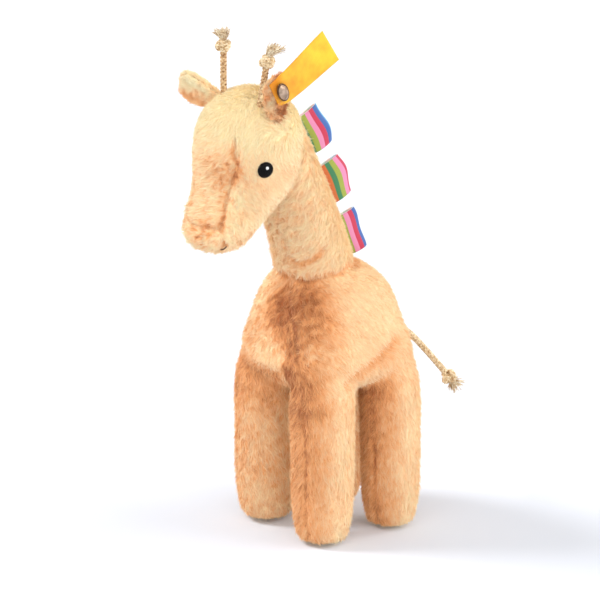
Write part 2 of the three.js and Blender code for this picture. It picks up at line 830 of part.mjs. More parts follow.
/** The mane's loops: short lengths of ribbon folded lengthwise and sewn in the neck's back seam. */
function addMane() {
  for (let index = 0; index < LOOP_DEPTHS.length; index += 1) {
    const height = (LOOP_START + index * LOOP_SPACING) / NECK_HEIGHT;
    const tangentStep = 0.04;
    const backPoint = (share) => {
      const section = sectionOf(neckForm, rowAtHeight(NECK_PROFILE, share));
      return new THREE.Vector3(0, section.middle.y + section.along, section.middle.z);
    };
    const seat = backPoint(height);
    const up = backPoint(height + tangentStep).sub(backPoint(height - tangentStep)).normalize();
    const out = X.clone().cross(up).negate();
    const frame = new THREE.Matrix4().makeBasis(X, out, up).setPosition(seat);
    const joint = evenJoint(seat, up, LOOP_FLOP);
    addJoint(`mane_loop_${index + 1}_flop`, 'neck', `mane_loop_${index + 1}`, joint);
    const ribbon = new THREE.ExtrudeGeometry(loopOutline(LOOP_DEPTHS[index]), {
      depth: RIBBON_WIDTH, bevelEnabled: false, curveSegments: 8,
    });
    ribbon.translate(0, 0, -RIBBON_WIDTH / 2).applyMatrix4(frame);
    const sewn = clearOf(solidOf(ribbon), neck.outer, joint);
    const fitted = geometryOf(largestOf(clearOf(sewn, torso.outer, joint, neckJoint)));
    addPiece(body, `mane_loop_${index + 1}`, fitted, finish(RIBBON_COLOUR, 0.6));
  }
}

/** The folded ribbon's edge: a drop that starts at the seam, with the ribbon as its wall. */
function loopOutline(depth) {
  const outline = new THREE.Shape();
  drop(outline, LOOP_GAP / 2, depth, -CLEARANCE);
  const hollow = new THREE.Path();
  const foot = RIBBON_THICKNESS * 2;
  drop(hollow, LOOP_GAP / 2 - RIBBON_THICKNESS, depth - RIBBON_THICKNESS, foot);
  outline.holes.push(hollow);
  return outline;
}

/** A drop from a narrow foot to a round outer end. */
function drop(path, half, depth, foot) {
  const seam = Math.min(half, RIBBON_THICKNESS * 0.6);
  path.moveTo(seam, foot);
  path.bezierCurveTo(half * 0.9, depth * 0.25, half, depth * 0.35, half, depth * 0.6);
  path.bezierCurveTo(half, depth * 0.85, half * 0.6, depth, 0, depth);
  path.bezierCurveTo(-half * 0.6, depth, -half, depth * 0.85, -half, depth * 0.6);
  path.bezierCurveTo(-half, depth * 0.35, -half * 0.9, depth * 0.25, -seam, foot);
  path.closePath();
}

/** The tail's route in the plane of the toy's middle, out of the rump and down. */
function tailRoute() {
  const share = (TAIL_HEIGHT - torsoForm.base.z) / TORSO_HEIGHT;
  const section = sectionOf(torsoForm, rowAtHeight(TORSO_PROFILE, share));
  const exit = section.middle.y + section.along + CLEARANCE;
  return [
    [0, 0],
    [4, -1.3],
    [8, -3.6],
    [12, -6.8],
    [16, -10.6],
    [20, -14.9],
    [24, -19.4],
    [28, -24],
    [32, -28.7],
    [35.7, -33.2],
  ].map(([back, rise]) => new THREE.Vector3(0, exit + back, TAIL_HEIGHT + rise));
}

/** The tail: a length of the same cord with a knot and a frayed end. */
function addTail() {
  const points = tailRoute();
  const curve = new THREE.CatmullRomCurve3(points);
  const joint = evenJoint(points[0], X, TAIL_SWING);
  const stretch = clearOf(solidOf(cordAlong(curve, CORD, 16, CORD_SIDES)), torso.outer, joint);
  addPiece(body, 'tail_cord', geometryOf(largestOf(stretch)), cord());
  const end = points[points.length - 1];
  addCordEnd(body, 'tail', end, curve.getTangent(1));
  addJoint('tail_swing', 'torso', 'tail', joint);
}

// The rivet stands square on the back of the left ear. Its frame has +Z out of the ear,
// +Y up the ear and +X towards the toy's back.
const leftEarAlong = earDirection(1, LEFT_EAR_LIFT, 0);
const leftEar = earFrame(LEFT_EAR_ACROSS, LEFT_EAR_BACK, leftEarAlong, X);
const rivetFrame = leftEar.clone()
  .multiply(new THREE.Matrix4().makeTranslation(0, 0, RIVET_ALONG_EAR))
  .multiply(new THREE.Matrix4().makeBasis(X.clone().negate(), Z, Y));
const tagSeat = EAR_THICKNESS / 2 + CLEARANCE;
const domeSeat = tagSeat + TAG_THICKNESS + CLEARANCE;
const washerDip = EAR_CUP * (WASHER_WIDTH / EAR_WIDTH) ** 2;
const washerSeat = -EAR_THICKNESS / 2 - EAR_LINING - 2 * CLEARANCE - washerDip;
const shankEnd = washerSeat - WASHER_THICKNESS - CLEARANCE;

/** A rod's bore along the rivet, through whatever it passes. */
function rivetBore(radius) {
  const reach = 2 * EAR_LENGTH;
  const rod = new THREE.CylinderGeometry(radius, radius, reach, 12).rotateX(Math.PI / 2);
  return solidOf(rod.applyMatrix4(rivetFrame));
}

/** The metal button with its shank, spread over the washer at the back. */
function addRivet() {
  const shank = SHANK / 2;
  const button = turned([
    [0, shankEnd - WASHER_THICKNESS],
    [shank + FLARE, shankEnd - WASHER_THICKNESS],
    [shank + FLARE, shankEnd],
    [shank, shankEnd],
    [shank, domeSeat],
    [RIVET_WIDTH * 0.45, domeSeat],
    [RIVET_WIDTH / 2, domeSeat + RIVET_DOME * 0.25],
    [RIVET_WIDTH * 0.44, domeSeat + RIVET_DOME * 0.6],
    [RIVET_WIDTH / 4, domeSeat + RIVET_DOME * 0.93],
    [0, domeSeat + RIVET_DOME],
  ], 20);
  addPiece(headGroup, 'rivet_button', button.applyMatrix4(rivetFrame), metal());
  const hole = shank + CLEARANCE;
  const washer = new THREE.LatheGeometry([
    [hole, washerSeat - WASHER_THICKNESS],
    [WASHER_WIDTH / 2, washerSeat - WASHER_THICKNESS],
    [WASHER_WIDTH / 2, washerSeat],
    [hole, washerSeat],
    [hole, washerSeat - WASHER_THICKNESS],
  ].map(([r, z]) => new THREE.Vector2(r, z)), 20).rotateX(Math.PI / 2);
  addPiece(headGroup, 'rivet_washer', washer.applyMatrix4(rivetFrame), metal());
}

/** The ear tag: woven tape that lies under the button, bends round the ear and twists. */
function addTag() {
  const steps = 12;
  const shares = [-1, -0.5, 0, 0.5, 1];
  const outline = [
    ...shares.map((wide) => [wide, -1]),
    ...shares.toReversed().map((wide) => [wide, 1]),
  ];
  const slope = radians(TAG_RISE);
  const farEnd = TAG_LENGTH - TAG_END;
  const rows = [];
  for (let step = 0; step <= steps; step += 1) {
    const along = THREE.MathUtils.lerp(-TAG_END, farEnd, step / steps);
    const twist = -radians(TAG_TWIST) * Math.max(along - RIVET_WIDTH / 2, 0) / farEnd;
    rows.push(outline.map(([wide, thick]) => {
      const across = wide * TAG_WIDTH / 2;
      const out = thick * TAG_THICKNESS / 2;
      const rise = across * Math.cos(twist) - out * Math.sin(twist);
      const x = along * Math.cos(slope) - rise * Math.sin(slope);
      const y = along * Math.sin(slope) + rise * Math.cos(slope);
      const bend = EAR_CUP * (Math.min(x, 0) / (EAR_WIDTH / 2)) ** 2;
      const middle = tagSeat + TAG_THICKNESS / 2 - bend;
      return new THREE.Vector3(x, y, middle + across * Math.sin(twist) + out * Math.cos(twist));
    }));
  }
  const tape = solidOf(loft(rows).applyMatrix4(rivetFrame));
  const open = tape.subtract(rivetBore(SHANK / 2 + CLEARANCE));
  addPiece(headGroup, 'ear_tag', geometryOf(open), finish(TAG_COLOUR, 0.7));
  const joint = evenJoint(
    new THREE.Vector3().setFromMatrixPosition(rivetFrame),
    Z.clone().transformDirection(rivetFrame),
    TAG_SWING,
  );
  addJoint('tag_swing', 'ear_left', 'ear_tag', joint, headFrame);
}

addTorso();
addNeck();
addHead();
for (const [name, side, end] of [
  ['front_left', 1, -1],
  ['front_right', -1, -1],
  ['rear_left', 1, 1],
  ['rear_right', -1, 1],
]) addLeg(name, side, end);
const rightEarAlong = earDirection(-1, RIGHT_EAR_LIFT, RIGHT_EAR_FORWARD);
const rightEar = earFrame(-RIGHT_EAR_ACROSS, RIGHT_EAR_BACK, rightEarAlong, Y);
addEar('right', rightEar, -EAR_FLOP, EAR_FLOP);
addEar('left', leftEar, -EAR_FLOP, 0, rivetBore(SHANK / 2 + CLEARANCE));
addRivet();
addTag();
addHorn('right', -1, RIGHT_HORN_LENGTH, 0, 0);
addHorn('left', 1, LEFT_HORN_LENGTH, LEFT_HORN_LEAN, LEFT_HORN_BACK);
addEye('left', 1);
addEye('right', -1);
addMouth();
addMane();
addTail();

// The toy stands with the middle of its box over the origin. The box leaves the tail out.
body.updateMatrixWorld(true);
const box = new THREE.Box3();
body.traverse((piece) => {
  if (piece.isMesh && !piece.name.startsWith('tail')) box.expandByObject(piece, true);
});
const centre = box.getCenter(new THREE.Vector3());
body.position.set(-centre.x, -centre.y, 0);
toy.userData.joints = joints;

export default toy;
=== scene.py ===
"""The looks of a small plush giraffe with ribbon mane, corded horns and a riveted ear tag.

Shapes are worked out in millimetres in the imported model's frame and turned into metres
when a piece is finished. The toy faces -Y, so its left side is +X.
"""

import json
import logging
import math
import random
from dataclasses import dataclass, field, replace
from enum import Enum
from typing import Callable, Iterable, Sequence

import bmesh
import bpy
import numpy as np
from mathutils import Matrix, Vector


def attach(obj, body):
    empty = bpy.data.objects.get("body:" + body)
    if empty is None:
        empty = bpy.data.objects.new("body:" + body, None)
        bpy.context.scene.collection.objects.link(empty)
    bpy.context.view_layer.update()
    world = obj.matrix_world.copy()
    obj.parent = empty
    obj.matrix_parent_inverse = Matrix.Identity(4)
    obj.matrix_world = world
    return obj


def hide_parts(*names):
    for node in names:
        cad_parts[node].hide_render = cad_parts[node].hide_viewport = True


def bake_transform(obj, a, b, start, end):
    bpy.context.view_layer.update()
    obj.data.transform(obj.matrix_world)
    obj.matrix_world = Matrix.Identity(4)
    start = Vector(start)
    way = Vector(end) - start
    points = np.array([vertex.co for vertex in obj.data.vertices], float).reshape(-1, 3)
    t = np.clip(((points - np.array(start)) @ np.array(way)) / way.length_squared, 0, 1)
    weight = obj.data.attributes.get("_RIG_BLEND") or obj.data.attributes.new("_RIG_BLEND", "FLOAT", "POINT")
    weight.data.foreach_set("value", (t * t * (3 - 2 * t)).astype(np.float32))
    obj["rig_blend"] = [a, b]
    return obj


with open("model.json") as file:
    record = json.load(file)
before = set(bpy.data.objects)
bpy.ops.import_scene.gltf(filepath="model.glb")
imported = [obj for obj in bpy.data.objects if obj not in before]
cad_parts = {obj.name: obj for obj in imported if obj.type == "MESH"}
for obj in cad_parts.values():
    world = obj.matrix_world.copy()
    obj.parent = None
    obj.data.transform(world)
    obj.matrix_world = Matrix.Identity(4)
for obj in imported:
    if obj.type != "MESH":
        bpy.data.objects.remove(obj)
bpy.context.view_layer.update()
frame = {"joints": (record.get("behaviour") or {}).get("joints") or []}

MM = 0.001
LOG = logging.getLogger("giraffe")
UP = Vector((0.0, 0.0, 1.0))
# the deep and shaded tones carry painted shade as well as randomly darker tufts
TONES = (0.0, 0.3, 0.6, 0.95)  # deep, shaded, usual and pale pile
WAVE_BAND = math.tau / 20  # the spacing of a wave texture's bands at a scale of 1

TORSO_ROWS = (
    (0, 0.7, 0, 0), (0.025, 0.7, 0.46, 0.46), (0.08, 0.7, 0.76, 0.76),
    (0.16, 0.7, 0.93, 0.93), (0.25, 0.7, 1, 1), (0.35, 0.7, 0.975, 0.965),
    (0.45, 0.8, 0.91, 0.91), (0.55, 0.9, 0.855, 0.865), (0.65, 0.9, 0.795, 0.81),
    (0.75, 1, 0.725, 0.735), (0.85, 1.4, 0.61, 0.6), (0.94, 1.8, 0.4, 0.38),
    (1, 1.8, 0, 0),
)
LEG_ROWS = (
    (0, 0, 0, 0), (0.012, 0, 0.5, 0.5), (0.03, 0, 0.74, 0.74), (0.065, 0, 0.84, 0.84),
    (0.13, 0, 0.93, 0.93), (0.24, 0, 0.98, 0.98), (0.42, 0, 1, 1),
    (0.58, 0.05, 1.03, 1.03), (0.72, 0.2, 1.02, 1.02), (0.85, 0.6, 0.86, 0.86),
    (0.95, 0.9, 0.5, 0.5), (1, 1, 0, 0),
)
NECK_ROWS = (
    (0, -0.02, 1.24, 1.26), (0.12, 0.085, 1.14, 1.11), (0.22, 0.15, 1.07, 1.05),
    (0.35, 0.262, 1.03, 1.02), (0.51, 0.43, 0.99, 0.99), (0.68, 0.61, 0.95, 0.95),
    (0.81, 0.762, 0.92, 0.92), (0.9, 0.88, 0.84, 0.85), (0.965, 0.95, 0.6, 0.62),
    (1, 1, 0, 0),
)
HEAD_ROWS = (
    (0, 1, 0, 0), (0.02, 1, 0.36, 0.36), (0.06, 0.97, 0.53, 0.53),
    (0.12, 0.93, 0.66, 0.66), (0.18, 0.8, 0.74, 0.73), (0.25, 0.58, 0.8, 0.79),
    (0.35, 0.24, 0.89, 0.89), (0.47, 0.05, 0.97, 0.97), (0.6, 0, 1, 1),
    (0.74, -0.08, 0.98, 0.97), (0.84, -0.12, 0.87, 0.85), (0.92, -0.13, 0.66, 0.65),
    (0.975, -0.13, 0.38, 0.37), (1, -0.13, 0, 0),
)
EAR_ROWS = (
    (0, 0.42, 0.8), (0.12, 0.56, 0.95), (0.35, 0.84, 1), (0.62, 1, 1),
    (0.83, 0.9, 0.9), (0.95, 0.55, 0.6), (1, 0, 0),
)


class Side(Enum):
    """A side of the toy, with its sign along X."""

    LEFT = 1
    RIGHT = -1


class End(Enum):
    """An end of the toy, with its sign along Y."""

    FRONT = -1
    REAR = 1


def linear(code: str) -> tuple[float, float, float, float]:
    """Turns an sRGB hex colour into linear light.

    Args:
        code: Six hex digits after a hash.

    Returns:
        Red, green, blue and an alpha of one.
    """
    shares = [int(code[i:i + 2], 16) / 255 for i in (1, 3, 5)]
    lit = [s / 12.92 if s <= 0.04045 else ((s + 0.055) / 1.055) ** 2.4 for s in shares]
    return (lit[0], lit[1], lit[2], 1.0)


def add_node(
    tree: bpy.types.NodeTree,
    kind: str,
    settings: dict | None = None,
    inputs: dict | None = None,
) -> bpy.types.Node:
    """Adds a node with its settings, values and links.

    Args:
        tree: The node tree that gets it.
        kind: The node's type name.
        settings: Its properties by name; "stops" fills a colour ramp.
        inputs: A value, or the socket that feeds it, by socket name or number.

    Returns:
        The new node.
    """
    node = tree.nodes.new(kind)
    for name, value in (settings or {}).items():
        if name == "stops":
            ramp = node.color_ramp
            while len(ramp.elements) < len(value):
                ramp.elements.new(1.0)
            for element, (place, colour) in zip(ramp.elements, value):
                element.position = place
                element.color = linear(colour)
        elif name == "interpolation":
            node.color_ramp.interpolation = value
        else:
            setattr(node, name, value)
    for key, value in (inputs or {}).items():
        if isinstance(value, bpy.types.NodeSocket):
            tree.links.new(value, node.inputs[key])
        else:
            node.inputs[key].default_value = value
    return node


def studio_rays(tree: bpy.types.NodeTree) -> bpy.types.NodeSocket:
    """Returns 1 on the rays by which the camera sees the studio, and 0 on the rest."""
    rays = add_node(tree, "ShaderNodeLightPath").outputs
    seen = rays["Is Camera Ray"]
    for name in ("Is Glossy Ray", "Is Transmission Ray"):
        seen = add_node(
            tree, "ShaderNodeMath", {"operation": "MAXIMUM"}, {0: seen, 1: rays[name]}
        ).outputs["Value"]
    return seen


# Finishes


@dataclass(frozen=True)
class Finish:
    """A real material, made once and shared by the pieces that it covers."""

    name: str

    def sockets(self, tree: bpy.types.NodeTree) -> dict:
        """Returns the shader's inputs, with the nodes that feed them."""
        raise NotImplementedError

    def material(self) -> bpy.types.Material:
        """Returns the Blender material, made on first use."""
        found = bpy.data.materials.get(self.name)
        if found:
            return found
        made = bpy.data.materials.new(self.name)
        made.use_nodes = True
        tree = made.node_tree
        tree.nodes.clear()
        shader = add_node(tree, "ShaderNodeBsdfPrincipled", inputs=self.sockets(tree))
        add_node(tree, "ShaderNodeOutputMaterial", inputs={"Surface": shader.outputs["BSDF"]})
        return made

    @staticmethod
    def mottled(
        tree: bpy.types.NodeTree, patch: float, detail: float, stops: tuple
    ) -> tuple[bpy.types.NodeSocket, bpy.types.NodeSocket]:
        """Spreads a dye or a patina unevenly over a piece.

        Args:
            tree: The material's node tree.
            patch: The size of its patches, in millimetres.
            detail: How finely the patches are broken up.
            stops: Its colours, by how much of it a place took.

        Returns:
            How much a place took, and its colour.
        """
        point = add_node(tree, "ShaderNodeTexCoord").outputs["Object"]
        taken = add_node(
            tree,
            "ShaderNodeTexNoise",
            inputs={"Vector": point, "Scale": 1 / (patch * MM), "Detail": detail},
        ).outputs["Fac"]
        colour = add_node(tree, "ShaderNodeValToRGB", {"stops": stops}, {"Fac": taken})
        return taken, colour.outputs["Color"]


@dataclass(frozen=True)
class PolyesterPile(Finish):
    """Dyed polyester plush fibres, sheared and brushed.

    Each fibre is deeper in colour at its root, painted shade for the light that is lost
    between its neighbours, and pale at its tip, and some tufts are paler than others.
    The tone's deep end holds the painted shade that the skin's points carry.
    """

    name: str = "polyester_plush_pile"
    roots: tuple[str, ...] = ("#A65C32", "#F0A968", "#FCD29E", "#FDE8B6")
    tips: tuple[str, ...] = ("#C68050", "#FBC78E", "#FFE9C4", "#FFF8D8")

    def sockets(self, tree: bpy.types.NodeTree) -> dict:
        """Returns the inputs: the tuft's tone, and the place along the fibre."""
        fibre = add_node(tree, "ShaderNodeUVMap", {"uv_map": "OFBake"})
        split = add_node(tree, "ShaderNodeSeparateXYZ", inputs={"Vector": fibre.outputs["UV"]})
        root, tip = (
            add_node(
                tree,
                "ShaderNodeValToRGB",
                {"stops": tuple(zip(TONES, colours))},
                {"Fac": split.outputs["Y"]},
            ).outputs["Color"]
            for colours in (self.roots, self.tips)
        )
        mixed = add_node(
            tree, "ShaderNodeMix", {"data_type": "RGBA"}, {0: split.outputs["X"], 6: root, 7: tip}
        )
        return {
            "Base Color": mixed.outputs[2],
            "Roughness": 0.78,
            "Specular IOR Level": 0.25,
            "Sheen Weight": 0.35,
            "Sheen Roughness": 0.5,
            "Sheen Tint": linear("#FFE7CC"),
        }


@dataclass(frozen=True)
class KnittedGround(Finish):
    """The knitted backing that the pile stands in, seen between the fibres.

    The knit is too fine to show at 0.4 mm, so it is drawn at 1 mm.
    """

    name: str = "knitted_plush_ground"
    dye_and_painted_shade: tuple[str, ...] = ("#B86C3C", "#F3B276", "#FEDEAE", "#FFF0C4")
    knit: float = 1.0

    def sockets(self, tree: bpy.types.NodeTree) -> dict:
        """Returns the inputs: the tone's colour, dye with painted shade, over the knit's small bumps."""
        point = add_node(tree, "ShaderNodeTexCoord").outputs["Object"]
        tone = add_node(tree, "ShaderNodeAttribute", {"attribute_name": "tone"})
        # the tone holds painted shade as well as the dye's random changes
        colour = add_node(
            tree,
            "ShaderNodeValToRGB",
            {"stops": tuple(zip(TONES, self.dye_and_painted_shade))},
            {"Fac": tone.outputs["Fac"]},
        )
        loops = add_node(
            tree, "ShaderNodeTexVoronoi", inputs={"Vector": point, "Scale": 1 / (self.knit * MM)}
        )
        bump = add_node(
            tree,
            "ShaderNodeBump",
            inputs={"Strength": 0.5, "Distance": 0.3 * MM, "Height": loops.outputs["Distance"]},
        )
        return {
            "Base Color": colour.outputs["Color"],
            "Normal": bump.outputs["Normal"],
            "Roughness": 0.92,
            "Specular IOR Level": 0.2,
            "Sheen Weight": 0.3,
        }


@dataclass(frozen=True)
class CottonYarn(Finish):
    """Undyed cotton yarn: matt, with flecks of seed and darker twists.

    The yarn's own twist is 0.5 mm from turn to turn; it is drawn coarser so that it shows.
    """

    name: str = "undyed_cotton_yarn"
    deep: str = "#A5744A"
    light: str = "#EFCFA0"
    twist: float = 0.9425

    def sockets(self, tree: bpy.types.NodeTree) -> dict:
        """Returns the inputs: flecked colour and a twisted, hairy surface."""
        _, colour = self.mottled(tree, 1.4, 5.0, ((0.34, self.deep), (0.62, self.light)))
        point = add_node(tree, "ShaderNodeTexCoord").outputs["Object"]
        ply = add_node(
            tree,
            "ShaderNodeTexWave",
            inputs={
                "Vector": point, "Scale": WAVE_BAND / (self.twist * MM),
                "Distortion": 2.5, "Detail": 2.0,
            },
        )
        bump = add_node(
            tree,
            "ShaderNodeBump",
            inputs={"Strength": 0.5, "Distance": 0.12 * MM, "Height": ply.outputs["Fac"]},
        )
        return {
            "Base Color": colour,
            "Normal": bump.outputs["Normal"],
            "Roughness": 0.88,
            "Specular IOR Level": 0.25,
            "Sheen Weight": 0.15,
        }


@dataclass(frozen=True)
class StripedSatin(Finish):
    """Polyester satin ribbon with warp stripes dyed before weaving.

    Satin floats give it a soft gloss; the weft shows as fine ribs across it. They are
    0.4 mm apart and drawn at twice that, so that they show.
    """

    name: str = "woven_satin_ribbon"
    start: float = 0.0
    length: float = 36.0
    stripe: float = 2.9
    width: float = 23.0
    ribs: float = 0.8882
    pale_share: float = 0.0
    colours: tuple[str, ...] = (
        "#CE6826", "#367C4E", "#9CA63C", "#E088AE", "#C42A4A", "#325EA4", "#4C9CCA",
    )

    def stops(self) -> tuple:
        """Returns the stripes' colours, each from its share of the ribbon's length."""
        first = math.floor(self.start / self.stripe)
        count = math.ceil((self.start + self.length) / self.stripe) - first
        return tuple(
            (
                max(0.0, (number * self.stripe - self.start) / self.length),
                self.colours[number % len(self.colours)],
            )
            for number in range(first, first + count)
        )

    def sockets(self, tree: bpy.types.NodeTree) -> dict:
        """Returns the inputs: stripes by the ribbon's UV map, and its ribs."""
        cloth = add_node(tree, "ShaderNodeUVMap", {"uv_map": "OFBake"}).outputs["UV"]
        split = add_node(tree, "ShaderNodeSeparateXYZ", inputs={"Vector": cloth})
        colour = add_node(
            tree,
            "ShaderNodeValToRGB",
            {"interpolation": "CONSTANT", "stops": self.stops()},
            {"Fac": split.outputs["X"]},
        )
        rib = add_node(
            tree,
            "ShaderNodeTexWave",
            {"bands_direction": "Y"},
            {
                "Vector": cloth, "Scale": WAVE_BAND * self.width / self.ribs,
                "Distortion": 0.6, "Detail": 2.0,
            },
        )
        bump = add_node(
            tree,
            "ShaderNodeBump",
            inputs={"Strength": 0.35, "Distance": 0.08 * MM, "Height": rib.outputs["Fac"]},
        )
        shown = add_node(
            tree,
            "ShaderNodeMix",
            {"data_type": "RGBA"},
            {0: self.pale_share, 6: colour.outputs["Color"], 7: (1.0, 0.97, 0.94, 1.0)},
        )
        return {
            "Base Color": shown.outputs[2],
            "Normal": bump.outputs["Normal"],
            "Roughness": 0.45,
            "Specular IOR Level": 0.45,
            "Sheen Weight": 0.2,
            "Anisotropic": 0.4,
        }


@dataclass(frozen=True)
class WovenTape(Finish):
    """Dense taffeta tape in golden yellow, with a faint weave and a cut edge.

    The weave is 0.25 mm; it is drawn at 1 mm so that it shows.
    """

    name: str = "woven_taffeta_tape"
    deep: str = "#E38A0C"
    light: str = "#FFC628"
    weave: float = 0.98693
    patch: float = 9.0
    size: tuple[float, float] = (42.0, 18.0)

    def sockets(self, tree: bpy.types.NodeTree) -> dict:
        """Returns the inputs: yellow that pales towards the far end, painted shade towards the rivet's end,
        and crossing threads.
        """
        cloth = add_node(tree, "ShaderNodeUVMap", {"uv_map": "OFBake"}).outputs["UV"]
        point = add_node(tree, "ShaderNodeTexCoord").outputs["Object"]
        dye = add_node(
            tree,
            "ShaderNodeTexNoise",
            inputs={"Vector": point, "Scale": 1 / (self.patch * MM), "Detail": 4.0},
        )
        far = add_node(tree, "ShaderNodeSeparateXYZ", inputs={"Vector": cloth})
        # painted shade: deeper orange towards the rivet, where the tape curls round the ear
        pale_share = add_node(
            tree,
            "ShaderNodeMath",
            {"operation": "MULTIPLY_ADD"},
            {0: far.outputs["X"], 1: 0.45, 2: dye.outputs["Fac"]},
        )
        colour = add_node(
            tree,
            "ShaderNodeValToRGB",
            {"stops": ((0.42, self.deep), (0.95, self.light))},
            {"Fac": pale_share.outputs["Value"]},
        )
        warp, weft = (
            add_node(
                tree,
                "ShaderNodeTexWave",
                {"bands_direction": way},
                {"Vector": cloth, "Scale": WAVE_BAND * size / self.weave, "Distortion": 0.4},
            ).outputs["Fac"]
            for way, size in zip("XY", self.size)
        )
        crossing = add_node(tree, "ShaderNodeMath", {"operation": "MULTIPLY"}, {0: warp, 1: weft})
        bump = add_node(
            tree,
            "ShaderNodeBump",
            inputs={"Strength": 0.4, "Distance": 0.08 * MM, "Height": crossing.outputs["Value"]},
        )
        return {
            "Base Color": colour.outputs["Color"],
            "Normal": bump.outputs["Normal"],
            "Roughness": 0.6,
            "Specular IOR Level": 0.35,
            "Sheen Weight": 0.15,
        }


@dataclass(frozen=True)
class AgedBrass(Finish):
    """Stamped brass with an antique finish: polished on top, brown in its hollows."""

    name: str = "antiqued_stamped_brass"
    deep: str = "#5A4234"
    light: str = "#C8AC94"

    def sockets(self, tree: bpy.types.NodeTree) -> dict:
        """Returns the inputs: cloudy patina, and a shine that follows it."""
        patina, colour = self.mottled(tree, 3.0, 4.0, ((0.2, self.deep), (0.6, self.light)))
        worn = add_node(
            tree, "ShaderNodeMapRange", inputs={"Value": patina, "To Min": 0.42, "To Max": 0.22}
        )
        return {"Base Color": colour, "Metallic": 1.0, "Roughness": worn.outputs["Result"]}


@dataclass(frozen=True)
class Embroidery(Finish):
    """Rayon embroidery thread, laid side by side: a clear gloss along each thread."""

    name: str = "rayon_thread_black"
    deep: str = "#020203"
    light: str = "#0B0B0D"
    gloss: float = 0.38

    def sockets(self, tree: bpy.types.NodeTree) -> dict:
        """Returns the inputs: a dye that varies a little from thread to thread."""
        _, colour = self.mottled(tree, 0.7, 2.0, ((0.35, self.deep), (0.65, self.light)))
        return {"Base Color": colour, "Roughness": self.gloss, "Specular IOR Level": 0.12}


@dataclass(frozen=True)
class StudioPaper(Finish):
    """Matt white paper. The camera sees it lifted to white, and its shadows stay."""

    name: str = "matt_white_paper"
    colour: str = "#E4E8F0"
    lift: float = 0.04

    def sockets(self, tree: bpy.types.NodeTree) -> dict:
        """Returns the inputs: plain paper, lifted for the camera."""
        lifted = add_node(
            tree, "ShaderNodeMath", {"operation": "MULTIPLY"}, {0: studio_rays(tree), 1: self.lift}
        )
        return {
            "Base Color": linear(self.colour),
            "Roughness": 1.0,
            "Specular IOR Level": 0.0,
            "Emission Color": (1.0, 1.0, 1.0, 1.0),
            "Emission Strength": lifted.outputs["Value"],
        }


# Tools


def solve_mesh(source: bpy.types.Object) -> bpy.types.Mesh:
    """Returns the mesh that an object's modifiers make, and removes the object.

    Args:
        source: An object with modifiers, or a curve.

    Returns:
        The final mesh.
    """
    bpy.context.view_layer.update()
    depsgraph = bpy.context.evaluated_depsgraph_get()
    solved = bpy.data.meshes.new_from_object(
        source.evaluated_get(depsgraph), preserve_all_data_layers=True, depsgraph=depsgraph
    )
    bpy.data.objects.remove(source)
    return solved


def as_object(name: str, data: bpy.types.ID) -> bpy.types.Object:
    """Links a new object with this data to the scene and returns it."""
    made = bpy.data.objects.new(name, data)
    bpy.context.scene.collection.objects.link(made)
    return made


def mesh_of(shape: bmesh.types.BMesh, name: str) -> bpy.types.Mesh:
    """Writes a bmesh to a new mesh, frees it and returns the mesh."""
    made = bpy.data.meshes.new(name)
    shape.to_mesh(made)
    shape.free()
    return made


def joined(meshes: Iterable[bpy.types.Mesh]) -> bmesh.types.BMesh:
    """Returns one bmesh that holds all these meshes, each with its own material number."""
    whole = bmesh.new()
    for mesh in meshes:
        whole.from_mesh(mesh)
    return whole


def finished(
    name: str,
    shape: bmesh.types.BMesh | bpy.types.Mesh,
    finishes: Sequence[Finish],
    smooth: bool = True,
) -> bpy.types.Object:
    """Makes a piece in metres from a shape in millimetres.

    Args:
        name: The piece's name.
        shape: Its shape in the model's frame.
        finishes: Its materials, in the order of its faces' numbers.
        smooth: Whether its faces are shaded smooth.

    Returns:
        The piece, at the origin with its place in its mesh.
    """
    mesh = shape if isinstance(shape, bpy.types.Mesh) else mesh_of(shape, name)
    mesh.name = name
    mesh.transform(Matrix.Scale(MM, 4))
    if mesh.materials:
        mesh.materials.clear()
    for finish in finishes:
        mesh.materials.append(finish.material())
    mesh.polygons.foreach_set("use_smooth", [smooth] * len(mesh.polygons))
    made = as_object(name, mesh)
    LOG.info("%s: %d faces", name, len(mesh.polygons))
    return made


def points_of(mesh: bpy.types.Mesh) -> tuple[np.ndarray, np.ndarray]:
    """Returns a mesh's points and their normals, a row each."""
    count = len(mesh.vertices)
    places, normals = np.zeros(count * 3), np.zeros(count * 3)
    mesh.vertices.foreach_get("co", places)
    mesh.vertices.foreach_get("normal", normals)
    return places.reshape(-1, 3), normals.reshape(-1, 3)


def keep_values(mesh: bpy.types.Mesh, name: str, values: np.ndarray) -> None:
    """Stores a number or a direction per point on a mesh, under a name."""
    kind, key = ("FLOAT", "value") if values.ndim == 1 else ("FLOAT_VECTOR", "vector")
    layer = mesh.attributes.get(name) or mesh.attributes.new(name, kind, "POINT")
    layer.data.foreach_set(key, values.astype(np.float32).ravel())


def smooth_path(points: Sequence[Vector], steps: int) -> list[Vector]:
    """Rounds a line of points with a curve through all of them.

    Args:
        points: The points to pass through.
        steps: Steps between one point and the next.

    Returns:
        The closely spaced points.
    """
    ends = [points[0] * 2 - points[1], *points, points[-1] * 2 - points[-2]]
    made = []
    for index in range(1, len(ends) - 2):
        a, b, c, d = ends[index - 1:index + 3]
        for step in range(steps):
            t = step / steps
            made.append(
                ((b * 2) + (c - a) * t + (a * 2 - b * 5 + c * 4 - d) * t ** 2
                 + (b * 3 - a - c * 3 + d) * t ** 3) / 2
            )
    return made + [points[-1].copy()]


def path_length(points: Sequence[Vector]) -> float:
    """Returns the length of a line of points."""
    return sum((b - a).length for a, b in zip(points, points[1:]))


